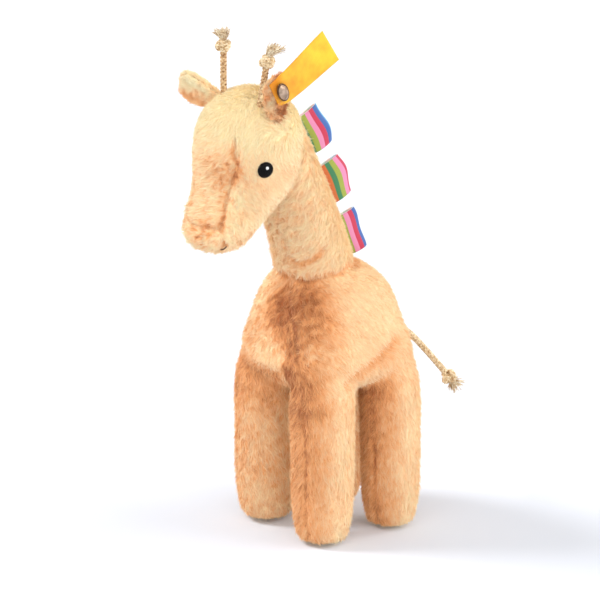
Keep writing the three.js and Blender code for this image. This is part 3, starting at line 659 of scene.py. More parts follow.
def swept(
    name: str,
    routes: Sequence[Sequence[Vector]],
    radius: float,
    roundness: int = 1,
) -> bpy.types.Mesh:
    """Sweeps a round thread along each of several routes.

    Args:
        name: The mesh's name.
        routes: The lines of points to follow.
        radius: The thread's radius.
        roundness: Blender's bevel resolution.

    Returns:
        One mesh of all the threads.
    """
    curve = bpy.data.curves.new(name, "CURVE")
    curve.dimensions = "3D"
    curve.bevel_depth = radius
    curve.bevel_resolution = roundness
    curve.use_fill_caps = True
    for route in routes:
        spline = curve.splines.new("POLY")
        spline.points.add(len(route) - 1)
        spline.points.foreach_set("co", [x for point in route for x in (*point, 1.0)])
    return solve_mesh(as_object(name, curve))


def settle(shape: bmesh.types.BMesh) -> None:
    """Puts a shape's faces in the order of their points, so that each run gives the same.

    Some of Blender's operators leave them in another order from run to run, and the
    pile's fibres are drawn face by face.
    """
    shape.verts.index_update()
    count = len(shape.verts)

    def rank(face: bmesh.types.BMFace) -> int:
        """Returns a number for a face's three first points."""
        first, second, third = sorted(vert.index for vert in face.verts)[:3]
        return (first * count + second) * count + third

    shape.faces.sort(key=rank)


def grid_sheet(
    columns: int, rows: int, wall: float, place: Callable[[float, float], Vector]
) -> bmesh.types.BMesh:
    """Lays a grid of cloth where a rule puts each of its points, and thickens it.

    Args:
        columns: Cells across.
        rows: Cells along.
        wall: The cloth's thickness.
        place: Gives the point at shares 0 to 1 across and along.

    Returns:
        The cloth, with its shares as its UV map.
    """
    cloth = bmesh.new()
    bmesh.ops.create_grid(cloth, x_segments=columns, y_segments=rows, size=0.5)
    layer = cloth.loops.layers.uv.new("OFBake")
    for face in cloth.faces:
        for loop in face.loops:
            loop[layer].uv = (loop.vert.co.x + 0.5, loop.vert.co.y + 0.5)
    for vert in cloth.verts:
        vert.co = place(vert.co.x + 0.5, vert.co.y + 0.5)
    bmesh.ops.recalc_face_normals(cloth, faces=cloth.faces)
    bmesh.ops.solidify(cloth, geom=cloth.faces[:], thickness=wall)
    settle(cloth)
    return cloth


def frame_at(place: Vector, x: Vector, y: Vector, z: Vector) -> Matrix:
    """Returns the frame with its origin at a place and these directions as its axes."""
    return Matrix.Translation(place) @ Matrix((x, y, z)).transposed().to_4x4()


def own_places(at: Matrix, places: np.ndarray) -> np.ndarray:
    """Returns points of the model's frame as points of another frame, a row each."""
    back = np.array(at.inverted())
    return places @ back[:3, :3].T + back[:3, 3]


def fade(values: np.ndarray, start: float, end: float) -> np.ndarray:
    """Returns 0 for values before start, 1 for those past end and shares between."""
    return np.clip((values - start) / (end - start), 0, 1)


def fitted(piece: bpy.types.Object, body: str, node: str) -> None:
    """Puts a piece on its body and in place of its CAD node."""
    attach(piece, body)
    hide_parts(node)


def ball_of(
    sides: int, rings: int, place: Callable[[float, float], Vector]
) -> bmesh.types.BMesh:
    """Makes a closed form whose points a rule puts in place.

    Args:
        sides: Faces round it.
        rings: Faces from pole to pole.
        place: Gives the point at a share from the lower pole up and at an angle.

    Returns:
        The form.
    """
    ball = bmesh.new()
    bmesh.ops.create_uvsphere(ball, u_segments=sides, v_segments=rings, radius=1.0)
    for vert in ball.verts:
        share = 1 - math.acos(max(-1.0, min(1.0, vert.co.z))) / math.pi
        vert.co = place(share, math.atan2(vert.co.y, vert.co.x))
    settle(ball)
    bmesh.ops.recalc_face_normals(ball, faces=ball.faces)
    return ball


def relax(shape: bmesh.types.BMesh, verts: Sequence[bmesh.types.BMVert]) -> None:
    """Smooths these points of a shape a little."""
    bmesh.ops.smooth_vert(
        shape, verts=verts, factor=0.5, use_axis_x=True, use_axis_y=True, use_axis_z=True
    )


# Where things are


@dataclass(frozen=True)
class Landmarks:
    """The toy's own frames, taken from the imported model's joints."""

    feet: Matrix
    head: Matrix
    joints: dict[str, Vector]

    @classmethod
    def read(cls) -> "Landmarks":
        """Returns the landmarks of the loaded model."""
        joints = {
            joint["name"]: Vector(joint["pos_m"]) / MM for joint in frame["joints"]
        }
        axes = {joint["name"]: Vector(joint["axis"]) for joint in frame["joints"]}
        feet = Matrix.Translation(joints["neck_bend"] - Vector((0, -8, 113)))
        nod = axes["head_nod"]
        turn = Matrix.Rotation(math.atan2(nod.y, nod.x), 4, "Z")
        middle = Vector((0, -22.5, 205.6))
        head = Matrix.Translation(joints["head_nod"] - turn @ middle) @ turn
        return cls(feet, head, joints)


@dataclass(frozen=True)
class StuffedForm:
    """A stuffed shape told by level sections, in the frame of its own landmarks."""

    rows: tuple
    base: tuple[float, float, float]
    height: float
    width: float
    length: float
    lean: tuple[float, float]
    corner: float
    frame: Matrix

    def row(self, share: float) -> list[float]:
        """Returns the smooth row at a share of the profile's length."""
        at = min(max(share, 0.0), 1.0) * (len(self.rows) - 1)
        index = min(int(at), len(self.rows) - 2)
        step = at - index
        last = len(self.rows) - 1
        a, b, c, d = (self.rows[min(max(index + k, 0), last)] for k in (-1, 0, 1, 2))
        made = []
        for before, low, high, after in zip(a, b, c, d):
            first, second = (high - before) / 2, (after - low) / 2
            bend = 3 * (high - low) - 2 * first - second
            turn = 2 * (low - high) + first + second
            made.append(low + step * (first + step * (bend + step * turn)))
        return made

    def section(self, share: float) -> tuple[float, float, float, float, float]:
        """Returns the section's middle and its half width and half length."""
        rise, lean, wide, long = self.row(share)
        return (
            self.base[0] + self.lean[0] * lean,
            self.base[1] + self.lean[1] * lean,
            self.base[2] + self.height * rise,
            self.width / 2 * wide,
            self.length / 2 * long,
        )

    def share_at(self, z: float) -> float:
        """Returns the profile share at a height of the form's own frame."""
        low, high = 0.0, 1.0
        for _ in range(30):
            middle = (low + high) / 2
            if self.section(middle)[2] < z:
                low = middle
            else:
                high = middle
        return low

    def local(self, share: float, angle: float) -> Vector:
        """Returns a point of the surface in the form's own frame."""
        x, y, z, across, along = self.section(share)
        cosine, sine = math.cos(angle), math.sin(angle)
        power = 2 / self.corner
        return Vector((
            x + across * math.copysign(abs(cosine) ** power, cosine),
            y + along * math.copysign(abs(sine) ** power, sine),
            z,
        ))

    def point(self, share: float, angle: float) -> Vector:
        """Returns a point of the surface in the model's frame."""
        return self.frame @ self.local(share, angle)

    def front_at(self, x: float, z: float) -> Vector:
        """Returns the front surface at a distance across and a height of its own frame."""
        middle_x, y, _, across, along = self.section(self.share_at(z))
        share = min(abs(x - middle_x) / max(across, 1e-6), 1.0)
        depth = along * (1 - share ** self.corner) ** (1 / self.corner)
        return self.frame @ Vector((x, y - depth, z))

    def front_line(self, points: Sequence[tuple[float, float]], side: int = 1) -> tuple[Vector, ...]:
        """Returns places on the front for points across and up, mirrored for a side of -1."""
        return tuple(self.front_at(side * x, z) for x, z in points)

    def shell(self, sides: int, rings: int, inset: float) -> bmesh.types.BMesh:
        """Makes the form's closed surface, moved in by a depth.

        Args:
            sides: Faces round it.
            rings: Faces from pole to pole.
            inset: How far it moves in along its normals.

        Returns:
            The surface in the model's frame.
        """
        ball = ball_of(sides, rings, self.point)
        ball.normal_update()
        moves = [(vert, vert.normal * inset) for vert in ball.verts]
        for vert, move in moves:
            vert.co -= move
        return ball

    def depth_below(self, places: np.ndarray) -> np.ndarray:
        """Returns about how far points of the model's frame lie inside the form.

        Args:
            places: A point per row.

        Returns:
            A depth per point, below zero outside.
        """
        own = own_places(self.frame, places)
        table = np.array([self.section(k / 200) for k in range(201)])
        x, y, across, along = (
            np.interp(own[:, 2], table[:, 2], table[:, k]) for k in (0, 1, 3, 4)
        )
        across, along = np.maximum(across, 1e-3), np.maximum(along, 1e-3)
        share = (
            np.abs((own[:, 0] - x) / across) ** self.corner
            + np.abs((own[:, 1] - y) / along) ** self.corner
        ) ** (1 / self.corner)
        depth = (1 - share) * np.minimum(across, along)
        outside = (own[:, 2] < table[0, 2]) | (own[:, 2] > table[-1, 2])
        return np.where(outside, -10.0, depth)


@dataclass(frozen=True)
class Crease:
    """A seam or fold: a line that pulls the cloth in, parts its pile and paints shade into it."""

    line: tuple[Vector, ...]
    depth: float
    width: float
    painted_shade: float = 1.0
    trim: float = 0.5

    def nearness(self, places: np.ndarray) -> np.ndarray:
        """Returns 1 on the line and less further from it, for each point of a skin."""
        nearest = np.full(len(places), 1e9)
        line = [places[np.argmin(((places - np.array(p)) ** 2).sum(1))] for p in self.line]
        for a, end in zip(line, line[1:]):
            along = end - a
            share = np.clip(((places - a) @ along) / max(along @ along, 1e-9), 0, 1)
            gap = np.linalg.norm(places - a - share[:, None] * along, axis=1)
            nearest = np.minimum(nearest, gap)
        return np.exp(-((nearest / self.width) ** 2))


def noise_field(places: np.ndarray, size: float, seed: int) -> np.ndarray:
    """Returns a smooth random field from -1 to 1 at each point.

    Args:
        places: A point per row.
        size: The distance over which it changes.
        seed: Which field it is.

    Returns:
        A value per point.
    """
    draw = np.random.default_rng(seed)
    total = np.zeros(len(places))
    for _ in range(12):
        way = draw.normal(size=3)
        way *= draw.uniform(0.6, 1.4) / np.linalg.norm(way)
        total += np.sin(places @ way * (math.tau / (2.2 * size)) + draw.uniform(0, math.tau))
    return np.clip(total / 3.5, -1, 1)


def unit(vectors: np.ndarray) -> np.ndarray:
    """Returns each row with a length of one."""
    return vectors / np.maximum(np.linalg.norm(vectors, axis=1, keepdims=True), 1e-9)


# Pile


@dataclass(frozen=True)
class Pile:
    """Plush pile: many straight fibres that stand in a skin and lean with its nap.

    The skin's points carry nap (the fibres' mean direction), tall (their length),
    thick (how densely they stand, 0 to 1) and tone (0 deep to 1 pale), which holds random tufts and painted
    shade.
    """

    count: int
    seed: int
    width: float = 0.36
    tuft: float = 1.4
    stray: float = 0.18
    clump: float = 0.36

    @staticmethod
    def fibre() -> bpy.types.Object:
        """Returns one fibre: a slim closed spike of unit length and width."""
        spike = bmesh.new()
        bmesh.ops.create_cone(
            spike, cap_ends=True, segments=3, radius1=0.5, radius2=0.0, depth=1.0
        )
        bmesh.ops.remove_doubles(spike, verts=spike.verts, dist=1e-5)
        broad = max(spike.faces, key=lambda face: face.calc_center_median().x)
        away = broad.calc_center_median()
        bmesh.ops.rotate(
            spike, verts=spike.verts, cent=(0, 0, 0),
            matrix=Matrix.Rotation(-math.atan2(away.y, away.x), 3, "Z"),
        )
        bmesh.ops.translate(spike, verts=spike.verts, vec=(0, 0, 0.5))
        mesh = mesh_of(spike, "fibre")
        places, _ = points_of(mesh)
        keep_values(mesh, "along", places[:, 2])
        keep_values(mesh, "aside", places[:, 1])
        return as_object("fibre", mesh)

    def tree(self, fibre: bpy.types.Object, density: float) -> bpy.types.NodeTree:
        """Builds the node tree that plants the fibres.

        Args:
            fibre: The fibre to plant.
            density: Fibres per square millimetre where the pile is full.

        Returns:
            The tree for a Nodes modifier.
        """
        tree = bpy.data.node_groups.new("plant_pile", "GeometryNodeTree")
        for way in ("INPUT", "OUTPUT"):
            tree.interface.new_socket("Geometry", in_out=way, socket_type="NodeSocketGeometry")
        skin = add_node(tree, "NodeGroupInput").outputs["Geometry"]
        kinds = dict.fromkeys(("thick", "tall", "tone", "cast", "along", "aside"), "FLOAT")
        kinds |= dict.fromkeys(("nap", "out"), "FLOAT_VECTOR")
        carried = {
            name: add_node(
                tree, "GeometryNodeInputNamedAttribute", {"data_type": kind}, {"Name": name}
            ).outputs["Attribute"]
            for name, kind in kinds.items()
        }
        # a random value's sockets: directions have theirs from 0, numbers from 2
        drawn = {
            name: add_node(
                tree,
                "FunctionNodeRandomValue",
                {"data_type": "FLOAT" if first else "FLOAT_VECTOR"},
                {first: low, first + 1: high, 8: self.seed + later},
            ).outputs[first // 2]
            for later, (name, first, low, high) in enumerate(
                (
                    ("stray", 0, (-self.stray,) * 3, (self.stray,) * 3),
                    ("spin", 0, (0, 0, 0), (0, 0, math.tau)),
                    ("tall", 2, 0.7, 1.15),
                    ("tone", 2, -0.14, 0.14),
                ),
                start=1,
            )
        }
        full = add_node(
            tree, "ShaderNodeMath", {"operation": "MULTIPLY"}, {0: carried["thick"], 1: density}
        )
        plants = add_node(
            tree,
            "GeometryNodeDistributePointsOnFaces",
            {"distribute_method": "RANDOM"},
            {"Mesh": skin, "Density": full.outputs["Value"], "Seed": self.seed},
        )
        place = add_node(tree, "GeometryNodeInputPosition").outputs["Position"]
        aim = add_node(
            tree,
            "ShaderNodeTexNoise",
            inputs={"Vector": place, "Scale": 1 / self.tuft, "Detail": 1.5},
        ).outputs["Color"]
        for operation, key, value in (
            ("SUBTRACT", 1, (0.5, 0.5, 0.5)),
            ("SCALE", "Scale", self.clump * 4),
            ("ADD", 1, carried["nap"]),
            ("ADD", 1, drawn["stray"]),
        ):
            aim = add_node(
                tree, "ShaderNodeVectorMath", {"operation": operation}, {0: aim, key: value}
            ).outputs["Vector"]
        twirled = add_node(tree, "FunctionNodeEulerToRotation", inputs={0: drawn["spin"]})
        leant = add_node(
            tree,
            "FunctionNodeAlignRotationToVector",
            {"axis": "Z"},
            {"Rotation": twirled.outputs["Rotation"], "Vector": aim},
        )
        turned = add_node(
            tree,
            "FunctionNodeAlignRotationToVector",
            {"axis": "X", "pivot_axis": "Z"},
            {"Rotation": leant.outputs["Rotation"], "Vector": carried["out"], "Factor": 0.8},
        )
        tall = add_node(
            tree,
            "ShaderNodeMath",
            {"operation": "MULTIPLY"},
            {0: carried["tall"], 1: drawn["tall"]},
        )
        size = add_node(
            tree,
            "ShaderNodeCombineXYZ",
            inputs={0: self.width, 1: self.width, 2: tall.outputs["Value"]},
        )
        toned = add_node(
            tree,
            "ShaderNodeMath",
            {"operation": "ADD", "use_clamp": True},
            {0: carried["tone"], 1: drawn["tone"]},
        )
        marked = add_node(
            tree,
            "GeometryNodeStoreNamedAttribute",
            {"data_type": "FLOAT", "domain": "POINT"},
            {
                "Geometry": plants.outputs["Points"], "Name": "cast",
                "Value": toned.outputs["Value"],
            },
        )
        spike = add_node(tree, "GeometryNodeObjectInfo", inputs={"Object": fibre})
        planted = add_node(
            tree,
            "GeometryNodeInstanceOnPoints",
            inputs={
                "Points": marked.outputs["Geometry"],
                "Instance": spike.outputs["Geometry"],
                "Rotation": turned.outputs["Rotation"],
                "Scale": size.outputs["Vector"],
            },
        )
        real = add_node(
            tree, "GeometryNodeRealizeInstances", inputs={"Geometry": planted.outputs["Instances"]}
        )
        aside = add_node(
            tree,
            "ShaderNodeMath",
            {"operation": "MULTIPLY_ADD"},
            {0: carried["aside"], 1: 0.04, 2: carried["cast"]},
        )
        within = add_node(
            tree,
            "ShaderNodeMapRange",
            inputs={"Value": aside.outputs["Value"], "To Min": 0.02, "To Max": 0.98},
        )
        spot = add_node(
            tree,
            "ShaderNodeCombineXYZ",
            inputs={0: carried["along"], 1: within.outputs["Result"]},
        )
        mapped = add_node(
            tree,
            "GeometryNodeStoreNamedAttribute",
            {"data_type": "FLOAT2", "domain": "CORNER"},
            {
                "Geometry": real.outputs["Geometry"], "Name": "OFBake",
                "Value": spot.outputs["Vector"],
            },
        )
        add_node(tree, "NodeGroupOutput", inputs={"Geometry": mapped.outputs["Geometry"]})
        return tree

    def grow(self, name: str, skin: bpy.types.Mesh, finish: Finish) -> bpy.types.Object:
        """Plants the pile on a skin.

        Args:
            name: The pile's name.
            skin: The skin's mesh in millimetres, with its values per point.
            finish: The fibres' material.

        Returns:
            The pile as a piece in metres.
        """
        shape = bmesh.new()
        shape.from_mesh(skin)
        thick = shape.verts.layers.float.get("thick")
        area = sum(
            face.calc_area() * sum(vert[thick] for vert in face.verts) / len(face.verts)
            for face in shape.faces
        )
        shape.free()
        count = self.count
        fibre = self.fibre()
        ground = as_object(name, skin.copy())
        planter = ground.modifiers.new("pile", "NODES")
        planter.node_group = self.tree(fibre, count / max(area, 1e-6))
        mesh = solve_mesh(ground)
        bpy.data.objects.remove(fibre)
        spare = {"along", "aside", "cast", "nap", "out", "tall", "thick", "tone"}
        for name_left in [layer.name for layer in mesh.attributes if layer.name in spare]:
            mesh.attributes.remove(mesh.attributes[name_left])
        return finished(name, mesh, [finish], smooth=False)


@dataclass
class Nap:
    """The pile's lie, height, fullness and tone over a skin, worked out point by point."""

    places: np.ndarray
    normals: np.ndarray
    lay: np.ndarray
    tall: np.ndarray
    thick: np.ndarray
    tone: np.ndarray
    lean: float = 70.0

    @classmethod
    def over(cls, mesh: bpy.types.Mesh, tall: float) -> "Nap":
        """Returns an even nap over a mesh, laid downwards."""
        places, normals = points_of(mesh)
        count = len(places)
        return cls(
            places,
            normals,
            np.tile((0.0, 0.0, -1.0), (count, 1)),
            np.full(count, tall),
            np.ones(count),
            np.full(count, 0.66),
        )

    def gap(self, point: Vector) -> np.ndarray:
        """Returns how far each place is from a point."""
        return np.linalg.norm(self.places - np.array(point), axis=1)

    def near(self, point: Vector, spread: float) -> np.ndarray:
        """Returns 1 at a point and less further from it, for each place."""
        return np.exp(-((self.gap(point) / spread) ** 2))

    def part(self, creases: Sequence[Crease]) -> None:
        """Shortens the pile along each crease and deepens its tone there, as painted shade."""
        for crease in creases:
            near = crease.nearness(self.places)
            self.tall *= 1 - crease.trim * near
            # painted shade in the crease
            self.tone -= 0.5 * near * crease.painted_shade

    def ruffle(self, strength: np.ndarray, size: float, seed: int) -> None:
        """Turns the lay this way and that, and deepens it, tuft by tuft.

        Args:
            strength: How much, per point.
            size: The tufts' size.
            seed: Which random turns they take.
        """
        turns = np.stack([noise_field(self.places, size, seed + k) for k in range(3)], 1)
        self.lay = self.lay + strength[:, None] * turns
        self.tone -= 0.15 * strength * (turns[:, 0] + 0.1)

    def store(self, mesh: bpy.types.Mesh) -> None:
        """Writes the values to the mesh's points."""
        across = (self.lay * self.normals).sum(1, keepdims=True)
        flat = unit(self.lay - self.normals * across)
        angle = math.radians(self.lean)
        nap = self.normals * math.cos(angle) + flat * math.sin(angle)
        keep_values(mesh, "nap", nap)
        keep_values(mesh, "out", self.normals)
        keep_values(mesh, "tall", self.tall)
        keep_values(mesh, "thick", np.clip(self.thick, 0, 1))
        keep_values(mesh, "tone", np.clip(self.tone, 0, 1))


def pull_in(mesh: bpy.types.Mesh, creases: Sequence[Crease]) -> None:
    """Moves a skin inwards along its creases."""
    places, normals = points_of(mesh)
    for crease in creases:
        places -= normals * (crease.nearness(places) * crease.depth)[:, None]
    mesh.vertices.foreach_set("co", places.ravel())
    mesh.update()


# The studio


@dataclass(frozen=True)
class Studio:
    """The camera, the soft lights, the paper floor and the white surround."""

    aim: Vector = Vector((-3.66, 11.84, 118.3))
    back: Vector = Vector((0.7551, -0.5690, 0.3256))
    distance: float = 9600.0
    lens: float = 1152.0
    sky: float = 0.57

    def camera(self) -> None:
        """Sets the camera at the photograph's angle, with no roll."""
        data = bpy.data.cameras.new("camera")
        data.lens = self.lens
        data.sensor_width = 36.0
        data.clip_end = 20.0
        back = self.back.normalized()
        right = UP.cross(back).normalized()
        made = as_object("camera", data)
        place = (self.aim + back * self.distance) * MM
        made.matrix_world = frame_at(place, right, back.cross(right), back)
        bpy.context.scene.camera = made

    @staticmethod
    def light(name: str, away: Vector, spread: float, strength: float) -> None:
        """Adds a wide, distant soft light.

        Args:
            name: The light's name.
            away: The way from the toy to the light.
            spread: How wide it looks from the toy, in degrees.
            strength: Its strength in watts per square metre.
        """
        data = bpy.data.lights.new(name, "SUN")
        data.angle = math.radians(spread)
        data.energy = strength
        made = as_object(name, data)
        made.matrix_world = away.to_track_quat("Z", "Y").to_matrix().to_4x4()

    def surround(self) -> None:
        """Makes the world white for the camera and softly lit for the toy."""
        world = bpy.data.worlds.new("white_surround")
        world.use_nodes = True
        tree = world.node_tree
        tree.nodes.clear()
        lit, seen = (
            add_node(
                tree, "ShaderNodeBackground", inputs={"Color": (1, 1, 1, 1), "Strength": strength}
            ).outputs["Background"]
            for strength in (self.sky, 1.0)
        )
        mixed = add_node(
            tree, "ShaderNodeMixShader", inputs={0: studio_rays(tree), 1: lit, 2: seen}
        )
        add_node(tree, "ShaderNodeOutputWorld", inputs={"Surface": mixed.outputs["Shader"]})
        bpy.context.scene.world = world

    def floor(self) -> None:
        """Lays the paper under the feet."""
        paper = bmesh.new()
        bmesh.ops.create_grid(paper, x_segments=2, y_segments=2, size=2500.0)
        bmesh.ops.translate(paper, verts=paper.verts, vec=(0, 0, -0.05))
        finished("paper_floor", paper, [StudioPaper()], smooth=False)

    def build(self) -> None:
        """Sets up the whole studio."""
        self.camera()
        self.surround()
        right = UP.cross(self.back).normalized()
        front = Vector((self.back.x, self.back.y, 0)).normalized()
        self.light("key_light_left", right * -0.72 - front * 0.06 + UP * 0.82, 20, 1.86)
        self.light("side_light_right", right * 0.85 + front * 0.05 + UP * 0.45, 60, 1.82)
        self.light("front_fill", front * 0.9 + UP * 0.35, 80, 0.98)
        self.floor()
        view = bpy.context.scene.view_settings
        view.view_transform = "Standard"


# Cord work


PALE_YARN = ("undyed_cotton_yarn_pale", "#C39B68", "#FCE9C4")


@dataclass(frozen=True)
class BraidedCord:
    """Eight strands braided four against four over a soft core."""

    diameter: float = 3.6
    strands: int = 4
    pitch: float = 8.0
    spacing: float = 0.28

    def strand_routes(self, path: Sequence[Vector], scale: float = 1.0) -> list[list[Vector]]:
        """Works out where each strand runs round a cord's middle line.

        Args:
            path: The closely spaced points of the middle line.
            scale: The cord's width against its usual width.

        Returns:
            A route for each strand.
        """
        ring = self.diameter * 0.335 * scale
        weave = self.diameter * 0.05 * scale
        side = self.first_side(path)
        frames, travelled = [], 0.0
        for index, point in enumerate(path):
            ahead = path[min(index + 1, len(path) - 1)] - path[max(index - 1, 0)]
            ahead.normalize()
            side = (side - ahead * side.dot(ahead)).normalized()
            if index:
                travelled += (point - path[index - 1]).length
            frames.append((point, side.copy(), ahead.cross(side), travelled))
        routes = []
        for way in (1, -1):
            for strand in range(self.strands):
                start = strand * math.tau / self.strands
                route = []
                for point, across, over, along in frames:
                    angle = start + way * math.tau * along / self.pitch
                    radius = ring + way * weave * math.cos(self.strands * angle)
                    route.append(
                        point + across * (radius * math.cos(angle)) + over * (radius * math.sin(angle))
                    )
                routes.append(route)
        return routes

    @staticmethod
    def first_side(path: Sequence[Vector]) -> Vector:
        """Returns a direction square to the path's start."""
        ahead = (path[1] - path[0]).normalized()
        helper = Vector((1, 0, 0)) if abs(ahead.x) < 0.9 else Vector((0, 1, 0))
        return (helper - ahead * helper.dot(ahead)).normalized()

    def resampled(self, path: Sequence[Vector]) -> list[Vector]:
        """Returns the path with even, close steps."""
        dense = smooth_path(path, 24) if len(path) > 2 else [
            path[0].lerp(path[1], k / 200) for k in range(201)
        ]
        made, carried = [dense[0]], 0.0
        for a, b in zip(dense, dense[1:]):
            carried += (b - a).length
            if carried >= self.spacing:
                made.append(b)
                carried = 0.0
        if (made[-1] - dense[-1]).length > 1e-3:
            made.append(dense[-1])
        return made

    def cord(self, name: str, path: Sequence[Vector], scale: float = 1.0) -> bmesh.types.BMesh:
        """Makes a length of braid.

        Args:
            name: The shape's name.
            path: The points of its middle line.
            scale: Its width against the usual width.

        Returns:
            The strands and their core.
        """
        even = self.resampled(path)
        strand = self.diameter * 0.128 * scale
        meshes = [
            swept(name + "_strands", self.strand_routes(even, scale), strand),
            swept(name + "_core", [even[:: 3] + [even[-1]]], self.diameter * 0.3 * scale, 2),
        ]
        return joined(meshes)

    def knot(self, name: str, foot: Vector, ahead: Vector, turn: float) -> bmesh.types.BMesh:
        """Ties the cord in a tight overhand knot.

        Args:
            name: The shape's name.
            foot: Where the knot starts on the cord.
            ahead: The way that the cord runs.
            turn: Its turn about the cord, in degrees.

        Returns:
            The knot.
        """
        reach, rise, lift = 2.8, 1.7, 3.4
        spin = ahead.to_track_quat("Z", "Y").to_matrix() @ Matrix.Rotation(math.radians(turn), 3, "Z")
        path = []
        for step in range(61):
            t = step / 60 * math.tau
            path.append(foot + spin @ Vector((
                reach * (math.sin(t) + 2 * math.sin(2 * t)) / 3,
                reach * (math.cos(t) - 2 * math.cos(2 * t)) / 3,
                lift - rise * math.sin(3 * t),
            )))
        return self.cord(name, path, 0.94)

    def fray(
        self, name: str, foot: Vector, ahead: Vector, tilt: Vector, count: int, seed: int
    ) -> bpy.types.Mesh:
        """Opens the cord's end into loose strands.

        Args:
            name: The mesh's name.
            foot: Where the strands leave the knot.
            ahead: The way that the tuft points.
            tilt: How far the tips drift sideways, in millimetres.
            count: How many strands.
            seed: Which random tuft it is.

        Returns:
            The tuft.
        """
        draw = random.Random(seed)
        side = self.first_side((Vector(), ahead))
        over = ahead.cross(side)
        routes = []
        for _ in range(count):
            angle, spread = draw.uniform(0, math.tau), draw.uniform(0.05, 1.0) ** 0.6
            out = side * math.cos(angle) + over * math.sin(angle)
            length, curl = draw.uniform(5.2, 8.0), draw.uniform(-0.9, 0.9)
            along = ahead.cross(out)
            route = []
            for step in range(7):
                t = step / 6
                route.append(
                    foot - ahead * 0.8 + out * (0.9 * spread + 4.2 * spread * t ** 1.4)
                    + ahead * length * t * (1 - 0.12 * spread * t)
                    + along * curl * t * t + tilt * t ** 1.6
                )
            routes.append(route)
        return swept(name, routes, 0.15, 0)


@dataclass(frozen=True)
class CordEnd:
    """A cord's end: its knot, and the strands that open above it."""

    name: str
    body: str
    braid: BraidedCord
    seed: int
    tilt: Vector = Vector((0, 0, 0))
    knot: float = 5.8
    threads: int = 120

    def build(self, end: Vector, ahead: Vector) -> list[bpy.types.Object]:
        """Ties the knot at the cord's end and opens the strands beyond it.

        Args:
            end: The end of the plain cord.
            ahead: The way that it runs.

        Returns:
            The knot and the tuft.
        """
        ahead = ahead.normalized()
        knot = finished(
            f"{self.name}_overhand_knot",
            self.braid.knot(self.name, end, ahead, 40.0 * self.seed),
            [CottonYarn(*PALE_YARN)],
        )
        tuft = finished(
            f"{self.name}_frayed_strands",
            self.braid.fray(
                self.name, end + ahead * self.knot, ahead, self.tilt, self.threads, self.seed
            ),
            [CottonYarn("opened_cotton_strands", "#B98F5C", "#FFF3D6")],
        )
        fitted(knot, self.body, f"{self.name}_knot")
        fitted(tuft, self.body, f"{self.name}_fray")
        return [knot, tuft]


@dataclass(frozen=True)
class Tail:
    """The corded tail, out of the rump's seam and down to its knot."""

    marks: Landmarks
    braid: BraidedCord = BraidedCord()
    route: tuple[tuple[float, float], ...] = (
        (0, 0), (4, -1.3), (8, -3.6), (12, -6.8), (16, -10.6), (20, -14.9),
        (24, -19.4), (28, -24), (32, -28.7), (35.7, -33.2),
    )

    def build(self) -> None:
        root = self.marks.joints["tail_swing"]
        points = [root + Vector((0, back, rise)) for back, rise in self.route]
        path = self.braid.resampled(points)
        cord = self.braid.cord("tail", points)
        piece = finished("tail_braided_cord", cord, [CottonYarn(*PALE_YARN)])
        fitted(piece, "tail", "tail_cord")
        ends = CordEnd("tail", "tail", self.braid, 3).build(points[-1], points[-1] - points[-2])
        path_length(path) * MM


@dataclass(frozen=True)
class Horn:
    """A corded horn that stands on the crown."""

    marks: Landmarks
    side: Side
    length: float
    lean: float
    back: float
    tilt: Vector
    seed: int
    root: float = 3.0
    braid: BraidedCord = BraidedCord()

    def build(self) -> None:
        """Builds the cord from just under the crown, its knot and its tuft."""
        name = f"horn_{self.side.name.lower()}"
        foot = self.marks.joints[f"{name}_bend"]
        turn = self.marks.head.to_3x3()
        ahead = turn @ Vector((
            self.side.value * math.tan(math.radians(self.lean)),
            math.tan(math.radians(self.back)),
            1.0,
        ))
        ahead.normalize()
        end = foot + ahead * self.length
        cord = finished(
            f"{name}_braided_cord",
            self.braid.cord(name, (foot - ahead * self.root, end)),
            [CottonYarn()],
        )
        fitted(cord, name, f"{name}_cord")
        CordEnd(name, name, self.braid, self.seed, self.tilt).build(end, ahead)


# Plush skins


SKIN_DEPTH = 0.9  # the skin under the form, so that the fibres' tips reach its surface
UNSEEN = 0.3  # how strong the seams are on the side that the photograph doesn't show

# Seams and folds on the front, as points across and up from the ground

CHEST_SEAM = ((27.5, 85), (24.5, 93), (20, 101), (15.5, 109), (11, 116), (6, 122.5), (1.5, 128))
CHEST_HOLLOW = ((14, 101), (11, 107), (7, 114), (3.5, 120), (1, 126), (0, 131))
BELLY_FOLD = ((-29, 94), (-24, 91), (-16, 89), (-8, 88), (0, 88), (8, 88.5), (14, 90), (18, 92))
BELLY_ROUND = ((-27, 87), (-18, 83), (-8, 82), (0, 82), (8, 83), (14, 85))
BRIDGE_SEAM = (
    (14, 168), (12.5, 178), (11, 190), (12.5, 200), (14.5, 208), (14, 215), (12, 221),
)
CHEEKBONE = ((16, 174), (16, 186), (16, 198))

# A fold over each thigh, as points back and up, and one in the neck, by turn and height

THIGH_FOLD = ((-15, 86), (-9, 90), (0, 95), (9, 100), (17, 104))
NECK_WRINKLE = ((-64, 145), (-54, 145.5), (-44, 146.5), (-34, 148), (-22, 150), (-10, 152))

# Painted shade on the chest and at the neck's base: across, up, spread and how much deeper

CHEST_PAINTED_SHADE = (
    (1, 119, 11, 0.42), (16, 128.5, 12, 0.42), (25, 116, 15, 0.36), (8, 105, 6, 0.16),
    (-18, 100, 13, 0.16),
)


